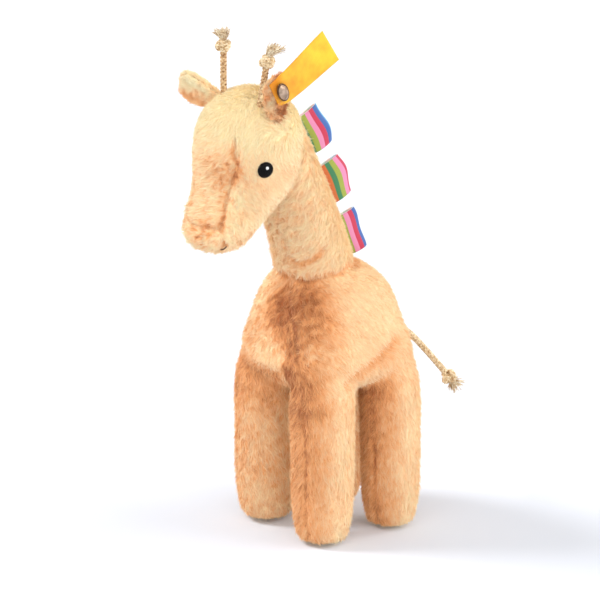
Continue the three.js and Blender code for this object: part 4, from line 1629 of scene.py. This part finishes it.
@dataclass
class PlushBody:
    """The torso, neck and legs: one sewn skin, parted where its joints bend."""

    marks: Landmarks
    voxel: float = 1.2
    tall: float = 3.5
    leg_middle: tuple[float, float] = (23.3, 21.3)
    leg_reach: float = 21.0
    leg_plane: float = 72.0
    leg_bend_end: float = 44.0
    neck_plane: float = 137.0
    neck_bend: tuple[float, float] = (112.0, 142.0)
    torso_fibres: int = 32000
    neck_fibres: int = 26000
    leg_fibres: int = 15000
    torso: StuffedForm = field(init=False)
    neck: StuffedForm = field(init=False)
    legs: dict[str, StuffedForm] = field(init=False)

    def __post_init__(self) -> None:
        """Sets up the stuffed forms from the landmarks."""
        feet = self.marks.feet
        self.torso = StuffedForm(TORSO_ROWS, (0, 0, 74), 69, 76, 80, (0, -2), 2.9, feet)
        self.neck = StuffedForm(NECK_ROWS, (0, -4, 120), 113, 37, 39, (0, -42), 2, feet)
        across, along = self.leg_middle
        self.legs = {}
        for end in End:
            width = 32.0 if end is End.FRONT else 30.4
            for side in Side:
                self.legs[f"{end.name.lower()}_{side.name.lower()}"] = StuffedForm(
                    LEG_ROWS,
                    (side.value * across, end.value * along, -0.5),
                    112.5,
                    width,
                    width,
                    (-side.value * 4, -end.value * 4 - 1),
                    2,
                    feet,
                )

    def leg_seams(self) -> list[Crease]:
        """Returns the front and rear seam of each leg."""
        made = []
        for name, leg in self.legs.items():
            side = 1 if name.endswith("left") else -1
            for facing in (-1, 1):
                angle = math.atan2(facing * 0.95, side * 0.3)
                line = tuple(leg.point(0.1 + 0.06 * k, angle) for k in range(11))
                made.append(Crease(line, 0.7, 1.0, 0.35))
        return made

    def seams(self) -> list[Crease]:
        """Returns the body's seams and folds with their painted shade, fainter on the side that isn't seen.
        """
        feet, torso, neck = self.marks.feet, self.torso, self.neck
        made = self.leg_seams()
        for side, strength in ((1, 1.0), (-1, UNSEEN)):
            chest = torso.front_line(CHEST_SEAM, side)
            hollow = torso.front_line(CHEST_HOLLOW, side)
            thigh = tuple(feet @ Vector((side * 38, y, z)) for y, z in THIGH_FOLD)
            made.append(Crease(chest[:3], 0.5 * strength, 1.2, 0.2 * strength))
            made.append(Crease(chest[2:], 1.6 * strength, 1.3, 0.8 * strength))
            # the chest's hollow: a wide, shallow groove with painted shade in it
            made.append(Crease(hollow, 3.0 * strength, 6.5, 0.45 * strength, 0.0))
            made.append(Crease(thigh, 1.3, 2.8, 0.3, 0.0))
        made.append(Crease(torso.front_line(BELLY_FOLD), 2.0, 2.4, 0.5, 0.2))
        made.append(Crease(torso.front_line(BELLY_ROUND), 1.4, 5.0, 0.3, 0.0))
        turns = [k / 24 * math.tau for k in range(25)]
        ring = tuple(
            feet @ Vector((20.5 * math.cos(a), -7.5 + 20.5 * math.sin(a), 138.3 + 3.2 * math.sin(a)))
            for a in turns
        )
        made.append(Crease(ring, 1.6, 1.8, 0.7))
        wrinkle = tuple(neck.point(neck.share_at(z), math.radians(turn)) for turn, z in NECK_WRINKLE)
        made.append(Crease(wrinkle, 1.3, 1.7, 0.6))
        return made

    def skin(self) -> bpy.types.Mesh:
        """Makes the one skin: the forms joined, their inner corners rounded off."""
        shells = [self.torso, self.neck, *self.legs.values()]
        whole = joined(mesh_of(form.shell(64, 48, SKIN_DEPTH), "shell") for form in shells)
        source = as_object("body_forms", mesh_of(whole, "body_forms"))
        join = source.modifiers.new("join", "REMESH")
        join.mode = "VOXEL"
        join.voxel_size = self.voxel
        shape = bmesh.new()
        shape.from_mesh(solve_mesh(source))
        for _ in range(3):
            relax(shape, shape.verts)
        feet = self.marks.feet.inverted()
        for _ in range(22):
            relax(shape, [
                vert for vert in shape.verts
                if 68 < vert.co.z < 116 and abs((feet @ vert.co).x) > 12
            ])
        for vert in shape.verts:
            if vert.co.z < 0.6:
                vert.co.z = 0.25 + 0.2 * vert.co.z
        mesh = mesh_of(shape, "body_skin")
        mesh.update()
        pull_in(mesh, self.seams())
        return mesh

    def comb(self, mesh: bpy.types.Mesh, head: StuffedForm) -> None:
        """Lays the nap over the skin and stores it.

        Args:
            mesh: The skin.
            head: The head's form, under which no pile is needed.
        """
        nap = Nap.over(mesh, self.tall)
        x, y, z = own_places(self.marks.feet, nap.places).T
        side, none, full = np.sign(x), np.zeros_like(x), np.ones_like(x)
        across, along = self.leg_middle
        outward = unit(np.stack([x - side * across, y - np.sign(y) * along, none], 1))
        apart = np.sign(x - side * across - side * 4.8)
        neck = z > self.neck_plane + 3
        chest = (z > 80) & (z <= self.neck_plane) & (np.abs(x) > 14)
        nap.lay = np.stack([0.25 * side, 0.1 * full, -full], 1)
        for where, lay in (
            (chest, (0.2 * side, 0.55 * full, -0.85 * full)),
            (neck, (none, -0.75 * full, -0.7 * full)),
            (z < 80, (0.35 * apart, none, -full)),
        ):
            nap.lay[where] = np.stack(lay, 1)[where]
        nap.tall *= 1 + 0.12 * noise_field(nap.places, 14, 5)
        nap.tone += 0.035 * noise_field(nap.places, 11, 6) + 0.03 * noise_field(nap.places, 4, 7)
        low = fade(z, 92, 66)
        thigh = fade(y + 15 - (z - 88) * 1.8, 0, 6) * fade(z, 120, 94)
        # painted light low on the lit left side and painted shade low on the right; the neck a little paler
        nap.tone += low * np.where(side < 0, -0.1, 0.13) + 0.06 * neck
        # painted shade over the thigh, behind the flank
        nap.tone -= np.where(side < 0, 0.08, 0.14) * thigh
        # painted shade on the chest and at the neck's base
        for right, up, spread, deep in CHEST_PAINTED_SHADE:
            nap.tone -= deep * nap.near(self.torso.front_at(right, up), spread)
        # painted shade on the parts that face forward: the chest and left leg beside the seam, the leg under
        # the belly's fold and the neck's front
        ahead = -nap.normals[:, 1]
        facing = np.clip(ahead, 0, 1) * (x > 12) * fade(z, 120, 90)
        facing *= 1 + 0.5 * np.exp(-(((z - 80) / 22) ** 2))
        under = fade(z, 91, 86) * fade(z, 55, 80) * fade(x, 12, 7)
        under *= np.clip(2 * ahead, 0, 1) * (y < 0)
        nap.tone -= 0.36 * facing + 0.28 * under + 0.12 * neck * np.clip(ahead, 0, 1)
        front = fade(y, -12, -26) * fade(z, 84, 98) * fade(x, 36, 28)
        rough = 0.12 + 0.7 * front + 0.25 * thigh + 0.25 * low * (side < 0) + 0.12 * neck
        nap.ruffle(rough, 1.9, 51)
        nap.part(self.seams())
        standing = fade(z, 0, 6)
        nap.lay[:, 2] *= standing
        nap.lay += (1 - standing)[:, None] * outward
        nap.tall *= 0.3 + 0.7 * standing
        nap.thick[z < 1.5] = 0.15
        nap.thick[head.depth_below(nap.places) > 4.0] = 0.0
        nap.store(mesh)

    def parted(
        self,
        mesh: bpy.types.Mesh,
        cuts: Sequence[tuple[Vector, Vector]],
        keep: Callable[[Vector], bool] | None = None,
    ) -> bpy.types.Mesh:
        """Cuts a part out of the skin and closes it.

        Args:
            mesh: The whole skin.
            cuts: A point and a direction for each cut; what lies that way goes.
            keep: Which of the separate rest is kept, by a face's middle.

        Returns:
            The part, with a closed end at each cut.
        """
        shape = bmesh.new()
        shape.from_mesh(mesh)
        for place, way in cuts:
            bmesh.ops.bisect_plane(
                shape,
                geom=[*shape.verts, *shape.edges, *shape.faces],
                plane_co=place,
                plane_no=way,
                clear_outer=True,
            )
        if keep:
            others = [face for face in shape.faces if not keep(face.calc_center_median())]
            bmesh.ops.delete(shape, geom=others, context="FACES")
        thick = shape.verts.layers.float.get("thick")
        bounds = [edge for edge in shape.edges if edge.is_boundary]
        caps = bmesh.ops.contextual_create(shape, geom=bounds)["faces"]
        for cap in caps:
            bmesh.ops.inset_individual(shape, faces=[cap], thickness=0.4)
            for vert in cap.verts:
                vert[thick] = 0.0
        bmesh.ops.triangulate(shape, faces=caps)
        return mesh_of(shape, "part")

    def build(self, head: StuffedForm) -> None:
        """Builds the torso, the neck and the legs with their pile.

        Args:
            head: The head's form, which hides the neck's top.
        """
        skin = self.skin()
        self.comb(skin, head)
        feet = self.marks.feet
        low = feet @ Vector((0, 0, self.leg_plane))
        high = feet @ Vector((0, 0, self.neck_plane))
        torso = self.parted(skin, ((low, -UP), (high, UP)))
        pieces = self.dress("torso", torso, self.torso_fibres, 11)
        neck = self.parted(skin, ((high, -UP),))
        pieces += self.dress("neck", neck, self.neck_fibres, 12)
        start, end = (feet @ Vector((0, -8, height)) for height in self.neck_bend)
        for piece in pieces:
            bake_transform(piece, "torso", "neck", start=tuple(start * MM), end=tuple(end * MM))
        for number, (name, form) in enumerate(self.legs.items()):
            middle = feet @ Vector(form.base)
            leg = self.parted(
                skin,
                ((low, UP),),
                lambda place, m=middle: max(abs(place.x - m.x), abs(place.y - m.y)) < self.leg_reach,
            )
            for piece in self.dress(f"leg_{name}", leg, self.leg_fibres, 20 + number):
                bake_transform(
                    piece,
                    "torso",
                    f"leg_{name}",
                    start=tuple(Vector((middle.x, middle.y, self.leg_plane)) * MM),
                    end=tuple(Vector((middle.x, middle.y, self.leg_bend_end)) * MM),
                )

    def dress(
        self, name: str, mesh: bpy.types.Mesh, count: int, seed: int
    ) -> list[bpy.types.Object]:
        """Plants the pile on a part of the skin and finishes both.

        Args:
            name: The part's name, as in its CAD nodes.
            mesh: Its skin in millimetres.
            count: How many fibres it gets.
            seed: Which random pile it is.

        Returns:
            The skin and the pile.
        """
        pile = Pile(count, seed).grow(f"{name}_plush_pile", mesh, PolyesterPile())
        skin = finished(f"{name}_plush_ground", mesh, [KnittedGround()])
        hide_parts(f"{name}_skin", f"{name}_filling")
        return [skin, pile]


@dataclass
class PlushHead:
    """The head: one stuffed skin with a bridge panel between two seams."""

    marks: Landmarks
    tall: float = 3.3
    fibres: int = 32000
    form: StuffedForm = field(init=False)

    def __post_init__(self) -> None:
        """Sets up the stuffed form."""
        self.form = StuffedForm(
            HEAD_ROWS, (0, -22.5, 160), 80, 53, 53, (0, -21), 2.15, self.marks.head
        )

    def surface(self, height: float, turn: float) -> tuple[Vector, Vector]:
        """Finds a point of the head and the way out of it.

        Args:
            height: Above the bottom of the muzzle.
            turn: From straight ahead towards the toy's left, in degrees.

        Returns:
            The point and the direction, in the model's frame.
        """
        share = self.form.share_at(self.form.base[2] + height)
        angle = math.radians(turn - 90)
        point = self.form.point(share, angle)
        aside = self.form.point(share, angle + 0.02)
        above = self.form.point(self.form.share_at(self.form.base[2] + height + 0.5), angle)
        return point, (aside - point).cross(above - point).normalized()

    def seams(self) -> list[Crease]:
        """Returns the bridge panel's two seams, the right one fainter, and the nose's fold."""
        made = []
        for side, strength in ((1, 1.0), (-1, UNSEEN)):
            line = self.form.front_line(BRIDGE_SEAM, side)
            made.append(Crease(line, 1.5 * strength, 1.4, 0.8 * strength, 0.3))
        fold = self.form.front_line([(x, 176 + abs(x) * 0.12) for x in range(-12, 15, 3)])
        made.append(Crease(fold, 1.7, 1.8, 0.5, 0.2))
        return made

    def comb(self, mesh: bpy.types.Mesh, neck: StuffedForm, eyes: Sequence[Vector]) -> None:
        """Lays the head's nap: off the seams, over the cheeks and back.

        Args:
            mesh: The head's skin.
            neck: The neck's form, over which no pile is needed.
            eyes: The middles of the eyes.
        """
        nap = Nap.over(mesh, self.tall)
        x, _, z = own_places(self.marks.head, nap.places).T
        cheek = fade(np.abs(x), 12, 22)
        crown = fade(z, 204, 226)
        face = (1 - crown) * fade(np.abs(x), 24, 14)
        brow = nap.near(self.form.front_at(9, 205), 11.0)
        nose = nap.near(self.form.front_at(3, 171), 6.5)
        cheekbone = Crease(self.form.front_line(CHEEKBONE), 0, 4.0).nearness(nap.places)
        strokes = noise_field(nap.places * (1, 1, 2.8), 3.6, 62)
        aside = 0.5 * np.clip(x / 10, -1, 1) * (1 - cheek)
        back = 0.6 * cheek * (1 - crown) - 0.7 * crown
        nap.lay = np.stack([aside, back, np.full_like(x, -0.8)], 1)
        nap.lay[:, 0] -= 1.5 * face * (np.abs(x) < 12.5)
        nap.tall *= 1 + 0.1 * noise_field(nap.places, 10, 8)
        nap.tall *= 1 + 0.35 * (face + brow + nose) * strokes
        nap.tone += 0.05 * noise_field(nap.places, 9, 9) + 0.05 * noise_field(nap.places, 3.5, 10)
        nap.tone += 0.3 * fade(z, 203, 223) - 0.01 + 0.04 * cheek
        # painted shade at the brow and under the nose's fold; paler along the cheekbone
        nap.tone += 0.12 * cheekbone - 0.25 * brow - 0.28 * nose
        nap.tone += (0.17 * face + 0.06 * brow + 0.1 * nose) * strokes
        nap.ruffle(0.25 + 0.6 * face + 0.5 * brow + 0.6 * nose, 1.7, 61)
        nap.part(self.seams())
        for eye in eyes:
            nap.thick[nap.gap(eye) < 4.0] = 0.0
            nap.tall *= 1 - 0.45 * nap.near(eye, 6.0)
        for side in Side:
            name = side.name.lower()
            nap.tall *= 1 - 0.5 * nap.near(self.marks.joints[f"horn_{name}_bend"], 4.0)
            root = nap.near(self.marks.joints[f"ear_{name}_flop"], 8.0)
            nap.tall *= 1 + 0.25 * root
            nap.lay[:, 2] += 2.0 * root
            # painted shade where the ears sit on the head
            nap.tone -= 0.2 * root * (1 + 0.8 * strokes)
        nap.thick[neck.depth_below(nap.places) > 4.0] = 0.0
        nap.store(mesh)

    def build(self, neck: StuffedForm) -> None:
        """Builds the head's skin and pile.

        Args:
            neck: The neck's form, which the head sits on.
        """
        mesh = mesh_of(self.form.shell(176, 124, SKIN_DEPTH), "head_skin_form")
        mesh.update()
        pull_in(mesh, self.seams())
        eyes = [self.surface(45.6, side.value * 65)[0] for side in Side]
        self.comb(mesh, neck, eyes)
        pile = Pile(self.fibres, 31).grow("head_plush_pile", mesh, PolyesterPile())
        skin = finished("head_plush_ground", mesh, [KnittedGround()])
        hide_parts("head_skin", "head_filling")
        for piece in (skin, pile):
            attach(piece, "head")


@dataclass(frozen=True)
class Eye:
    """A satin-stitched eye with a small white stitch near its top, a painted highlight."""

    head: PlushHead
    side: Side
    width: float = 8.3
    thread: float = 0.55
    bulge: float = 1.9
    glint: float = 1.4

    def stitches(self, at: Matrix, width: float, bulge: float, slant: float) -> bpy.types.Mesh:
        """Lays threads side by side over a low dome.

        Args:
            at: The dome's frame.
            width: The dome's width.
            bulge: Its height.
            slant: The threads' slant, in degrees.

        Returns:
            The threads.
        """
        half = width / 2
        count = max(3, round(width / (self.thread * 0.8)))
        turn = Matrix.Rotation(math.radians(slant), 4, "Z")
        routes = []
        for index in range(count):
            across = (index + 0.5) / count * 2 - 1
            reach = math.sqrt(max(1 - across ** 2, 0.0))
            route = []
            for step in range(13):
                along = (step / 12 * 2 - 1) * reach
                rise = bulge * math.sqrt(max(1 - across ** 2 - along ** 2, 0.0))
                route.append(at @ turn @ Vector((across * half, along * half, rise)))
            routes.append(route)
        return swept("stitches", routes, self.thread / 2)

    def build(self) -> None:
        """Builds the eye and its white stitch, a painted highlight."""
        name = self.side.name.lower()
        place, out = self.head.surface(45.4, self.side.value * 67.5)
        up = (UP - out * UP.dot(out)).normalized()
        at = frame_at(place - out * 0.7, up.cross(out), up, out)
        base = bmesh.new()
        bmesh.ops.create_uvsphere(base, u_segments=32, v_segments=16, radius=1.0)
        settle(base)
        half = self.width / 2
        bmesh.ops.scale(base, vec=(half, half, self.bulge), verts=base.verts)
        bmesh.ops.transform(base, matrix=at, verts=base.verts)
        whole = joined([
            mesh_of(base, "eye_base"),
            self.stitches(at, self.width - 0.3, self.bulge, 18 * self.side.value),
        ])
        eye = finished(f"eye_{name}_satin_stitch", whole, [Embroidery()])
        fitted(eye, "head", f"eye_{name}")
        # the white stitch is a painted highlight near the eye's top
        top = at @ Matrix.Translation((0.25 * self.side.value, 1.45, self.bulge * 0.9))
        glint = finished(
            f"eye_{name}_white_stitch",
            self.stitches(top, self.glint, 0.45, 10),
            [Embroidery("rayon_thread_white", "#E9E9E6", "#FFFFFF", 0.45)],
        )
        fitted(glint, "head", f"eye_{name}_glint")


@dataclass(frozen=True)
class Mouth:
    """A short dark stitch under the muzzle."""

    head: PlushHead

    def build(self) -> None:
        """Builds the stitch from two threads that lie in the pile."""
        routes = []
        for row in (-0.2, 0.2):
            route = []
            for share in (-1, -0.5, 0, 0.5, 1):
                place, out = self.head.surface(6.1 + row + 0.9 * share, 56 + share * 5)
                route.append(place + out * (0.5 - 0.5 * share ** 2))
            routes.append(smooth_path(route, 5))
        piece = finished(
            "mouth_dark_stitch",
            swept("mouth", routes, 0.24),
            [Embroidery("cotton_thread_dark", "#4A3A30", "#6E5848", 0.6)],
        )
        fitted(piece, "head", "mouth_stitch")


@dataclass(frozen=True)
class Ear:
    """A cupped plush ear: an outer leaf and a lining, sewn along their rim."""

    marks: Landmarks
    side: Side
    across: float
    behind: float
    along: Vector
    back: Vector
    length: float = 29.0
    width: float = 15.5
    cup: float = 2.6
    bend: tuple[float, float] = (3.0, 11.0)
    pale: float = 0.98

    def frame(self) -> Matrix:
        """Returns the ear's frame: Z along it, Y out of its back."""
        root = Vector((self.side.value * self.across, self.behind - 22.5, 227.5))
        z = self.along.normalized()
        y = (self.back - z * self.back.dot(z)).normalized()
        return self.marks.head @ frame_at(root, y.cross(z), y, z)

    def leaf(self, shrink: float, thickness: float, setback: float) -> bpy.types.Mesh:
        """Makes one leaf as a thin closed form.

        Args:
            shrink: How much smaller it is than the ear, all round.
            thickness: Its thickness.
            setback: Its place through the ear, towards the back.

        Returns:
            The leaf's mesh.
        """
        rows = StuffedForm(
            tuple((rise, 0, wide, thick) for rise, wide, thick in EAR_ROWS),
            (0, 0, 0), self.length - shrink, self.width - shrink, thickness, (0, 0), 2, Matrix(),
        )
        at = self.frame()

        def cupped(share: float, angle: float) -> Vector:
            """Returns the leaf's point, bent forward at both its sides."""
            local = rows.local(share, angle)
            rise = local.z / self.length
            bend = self.cup * min(rise * 3, 1) * (local.x / (self.width / 2)) ** 2
            return at @ Vector((local.x, local.y + setback - bend, local.z))

        mesh = mesh_of(ball_of(40, 44, cupped), "ear_leaf")
        mesh.update()
        return mesh

    def build(self, head: StuffedForm, rivet: Vector | None = None) -> None:
        """Builds the two leaves and their pile.

        Args:
            head: The head's form, under which no pile is needed.
            rivet: The middle of the rivet, round which the pile is pressed flat.
        """
        name = f"ear_{self.side.name.lower()}"
        at = self.frame()
        along, out = (np.array(at.to_3x3().col[k]) for k in (2, 1))
        start, end = (tuple((at @ Vector((0, 0, rise))) * MM) for rise in self.bend)
        for part, shrink, thickness, setback, tall, seed, tone, facing in (
            ("back", 1.2, 2.0, 0.0, 2.8, 41, self.pale - 0.1, out),
            ("lining", 3.0, 1.0, -2.2, 2.0, 43, self.pale, -out),
        ):
            mesh = self.leaf(shrink, thickness, setback)
            nap = Nap.over(mesh, tall)
            count = len(nap.places)
            nap.lay = np.tile(along, (count, 1))
            own = own_places(at, nap.places)
            # painted shade along the ear's lower side and at its root
            shaded = 0.6 * np.clip(0.4 - own[:, 0] / 7, 0, 1)
            shaded += 0.3 * np.exp(-np.clip(own[:, 2], 0, 99) / 7)
            nap.tone = tone - shaded + 0.12 * noise_field(nap.places, 4, seed)
            nap.ruffle(np.full(count, 0.6 if rivet is None else 1.3), 1.8, seed + 2)
            nap.lean = 60.0
            nap.thick[nap.normals @ facing < -0.5] = 0.1
            if rivet is not None:
                nap.tall *= 1.3 * (1 - 0.88 * nap.near(rivet, 6.2))
            nap.thick[head.depth_below(nap.places) > 1.0] = 0.0
            nap.store(mesh)
            pile = Pile(8000, seed + self.side.value, width=0.42, clump=0.3).grow(
                f"{name}_{part}_pile", mesh, PolyesterPile()
            )
            skin = finished(f"{name}_{part}_ground", mesh, [KnittedGround()])
            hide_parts(f"{name}_{part}")
            for piece in (skin, pile):
                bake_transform(piece, "head", name, start=start, end=end)


@dataclass(frozen=True)
class ManeLoop:
    """A short length of striped ribbon, folded lengthwise and sewn in the neck's seam."""

    number: int
    depth: float
    start: float
    width: float = 23.0
    gap: float = 5.6
    wall: float = 0.55
    margin: float = 0.45

    def half_line(self) -> list[Vector]:
        """Returns one side of the fold's edge, as distances across and out."""
        half, depth = self.gap / 2 - self.margin, self.depth - self.margin

        def bend(a: Vector, b: Vector, c: Vector, d: Vector) -> list[Vector]:
            """Returns points of a cubic from a to d, without d itself."""
            return [
                a * (1 - t) ** 3 + b * 3 * t * (1 - t) ** 2 + c * 3 * t * t * (1 - t) + d * t ** 3
                for t in (k / 14 for k in range(14))
            ]

        foot = Vector((self.margin, 0.2, 0))
        belly = Vector((half, depth * 0.6, 0))
        tip = Vector((0, depth, 0))
        return [
            *bend(foot, Vector((half * 0.9, depth * 0.25, 0)), Vector((half, depth * 0.35, 0)), belly),
            *bend(belly, Vector((half, depth * 0.85, 0)), Vector((half * 0.6, depth, 0)), tip),
            tip,
        ]

    def build(self) -> None:
        right = self.half_line()
        outline = right + [Vector((-p.x, p.y, 0)) for p in reversed(right[:-1])]
        steps = [0.0]
        for a, b in zip(outline, outline[1:]):
            steps.append(steps[-1] + (b - a).length)
        length = steps[-1]
        name = f"mane_loop_{self.number}"
        joint = next(j for j in frame["joints"] if j["name"] == f"{name}_flop")
        seat, up = Vector(joint["pos_m"]) / MM, Vector(joint["axis"]).normalized()
        up *= math.copysign(1, up.z)
        across = Vector((1, 0, 0))
        out = up.cross(across)
        out *= math.copysign(1, out.y)

        def place(u: float, v: float) -> Vector:
            """Puts a point of the ribbon where its fold and its small waves take it."""
            x, y = (np.interp(u * length, steps, [p[k] for p in outline]) for k in (0, 1))
            far = y / self.depth
            x *= 1 - 0.5 * v * v
            wave = 0.7 * math.sin(4.6 * v + self.number * 2.1) * far
            bow = (0.55 * math.sin(7.0 * v + self.number * 1.9) - 1.2 * (2 * v - 1) ** 2) * far
            return seat + across * (x + wave) + out * (y + bow) + up * ((v - 0.5) * (self.width - 0.4))

        cloth = grid_sheet(84, 26, self.wall, place)
        cloth.normal_update()
        middle = seat + out * self.depth * 0.5
        for face in cloth.faces:
            away = face.calc_center_median() - middle
            face.material_index = int(face.normal.dot(away - up * away.dot(up)) < 0)
        face_side = StripedSatin(f"woven_satin_ribbon_{self.number}", self.start, length)
        back_side = replace(face_side, name=face_side.name + "_back", pale_share=0.55)
        piece = finished(f"{name}_ribbon", cloth, [face_side, back_side])
        fitted(piece, name, name)


@dataclass(frozen=True)
class EarTag:
    """The bare woven tag under the ear's metal button."""

    ear: Ear
    length: float = 42.0
    width: float = 18.0
    thickness: float = 0.5
    near: float = 4.4
    slope: float = 26.0
    twist: float = 20.0
    seat: float = 1.8
    stretch: float = 1.45
    squeeze: float = 0.86
    oval_turn: float = 34.0
    rim: float = 3.3
    up_ear: float = 16.5
    button: float = 3.1
    shank_end: float = -4.93
    washer: float = -3.83
    washer_wall: float = 0.8

    def rivet_frame(self) -> Matrix:
        """Returns the rivet's frame: Z out of the ear, Y up it."""
        at = self.ear.frame()
        x, y, z = (at.to_3x3().col[k] for k in range(3))
        return frame_at(at @ Vector((0, 0, self.up_ear)), -x, z, y)

    def tape(self) -> None:
        at = self.rivet_frame()
        slope = math.radians(self.slope)
        reach = self.length - self.near

        def place(u: float, v: float) -> Vector:
            """Bends a point of the tape round the ear and twists it."""
            along = -self.near + u * self.length
            turn = -math.radians(self.twist) * max(along - 4, 0) / reach
            gather = 1 - 0.34 * max(0.0, (3 - along) / 9) ** 1.3
            across = (v - 0.5) * self.width * gather
            x = along * math.cos(slope) - across * math.cos(turn) * math.sin(slope)
            y = along * math.sin(slope) + across * math.cos(turn) * math.cos(slope)
            bend = 2.6 * (min(x, 0) / 7.75) ** 2
            lift = 0.35 * math.sin(u * math.pi * 1.5)
            return at @ Vector((x, y, self.seat + 0.5 - bend + lift + across * math.sin(turn)))

        cloth = grid_sheet(44, 20, self.thickness, place)
        piece = finished("ear_tag_woven_tape", cloth, [WovenTape()])
        fitted(piece, "ear_tag", "ear_tag")

    def turned(self, name: str, profile: Sequence[tuple[float, float]], node: str) -> None:
        """Spins a metal piece about the rivet's line and makes its front oval.

        Args:
            name: The piece's name.
            profile: Its radius and height, point by point.
            node: The CAD node that it stands for.
        """
        shape = bmesh.new()
        verts = [shape.verts.new((radius, 0, height)) for radius, height in profile]
        edges = [shape.edges.new(pair) for pair in zip(verts, verts[1:])]
        bmesh.ops.spin(
            shape, geom=[*verts, *edges], cent=(0, 0, 0), axis=(0, 0, 1),
            angle=math.tau, steps=48, use_merge=True, use_duplicate=False,
        )
        bmesh.ops.remove_doubles(shape, verts=shape.verts, dist=1e-4)
        settle(shape)
        bmesh.ops.recalc_face_normals(shape, faces=shape.faces)
        for face in shape.faces:
            face.material_index = int(face.calc_center_median().xy.length > self.rim)
        turn = Matrix.Rotation(math.radians(self.oval_turn), 4, "Z")
        oval = turn @ Matrix.Diagonal((self.squeeze, self.stretch, 1, 1)) @ turn.inverted()
        for vert in shape.verts:
            if vert.co.z > 2:
                vert.co = oval @ vert.co
        bmesh.ops.transform(shape, matrix=self.rivet_frame(), verts=shape.verts)
        # the darker rolled rim: partly patina, partly painted shade of its edge
        rim = AgedBrass("antiqued_brass_rim", "#33241A", "#6E543E")
        piece = finished(name, shape, [AgedBrass(), rim])
        fitted(piece, "ear_left", node)

    def build(self) -> None:
        """Builds the tape, the button and the washer."""
        end, dome = self.shank_end, self.button
        self.turned(
            "rivet_domed_button",
            (
                (0, end - 0.8), (1.9, end - 0.8), (2.2, end - 0.6), (2.2, end - 0.1),
                (2.0, end), (1.2, end), (1.2, dome), (3.4, dome), (3.75, dome + 0.08),
                (3.98, dome + 0.3), (4.0, dome + 0.6), (3.88, dome + 0.9), (3.6, dome + 1.02),
                (3.42, dome + 0.98), (3.3, dome + 1.06), (2.9, dome + 1.45), (2.3, dome + 1.8),
                (1.5, dome + 2.05), (0.8, dome + 2.16), (0, dome + 2.2),
            ),
            "rivet_button",
        )
        low, high = self.washer - self.washer_wall, self.washer
        self.turned(
            "rivet_back_washer",
            (
                (1.5, low), (3.2, low), (3.45, low + 0.12), (3.5, (low + high) / 2),
                (3.45, high - 0.12), (3.2, high), (1.5, high), (1.5, low),
            ),
            "rivet_washer",
        )
        self.tape()


def main() -> None:
    """Builds the studio and the toy, piece by piece."""
    logging.basicConfig(level=logging.INFO, format="%(name)s: %(message)s")
    Studio().build()
    marks = Landmarks.read()
    Tail(marks).build()
    right_of_view = Vector((0.6018, 0.7986, 0.0))
    Horn(marks, Side.RIGHT, 21.0, 0.0, 0.0, right_of_view * -1.2, 1).build()
    Horn(marks, Side.LEFT, 18.5, 5.0, 7.0, right_of_view * 4.0, 2).build()
    body = PlushBody(marks)
    head = PlushHead(marks)
    body.build(head.form)
    head.build(body.neck)
    for side in Side:
        Eye(head, side).build()
    Mouth(head).build()
    lift, forward = math.radians(14), math.radians(6)
    right_along = Vector((
        -math.cos(lift) * math.cos(forward), -math.cos(lift) * math.sin(forward), math.sin(lift)
    ))
    left_along = Vector((math.cos(math.radians(85)), 0, math.sin(math.radians(85))))
    Ear(marks, Side.RIGHT, 18.5, 2.2, right_along, Vector((0, 1, 0))).build(head.form)
    # the left ear's deeper tone is painted shade under the tag
    left_ear = Ear(marks, Side.LEFT, 20.0, 0.5, left_along, Vector((1, 0, 0)), length=25.5, pale=0.7)
    tag = EarTag(left_ear)
    left_ear.build(head.form, tag.rivet_frame().to_translation())
    for number, depth, start in ((1, 12.5, 5.0), (2, 15.5, 18.6), (3, 15.5, 3.1)):
        ManeLoop(number, depth, start).build()
    tag.build()


if __name__ == "__main__":
    main()
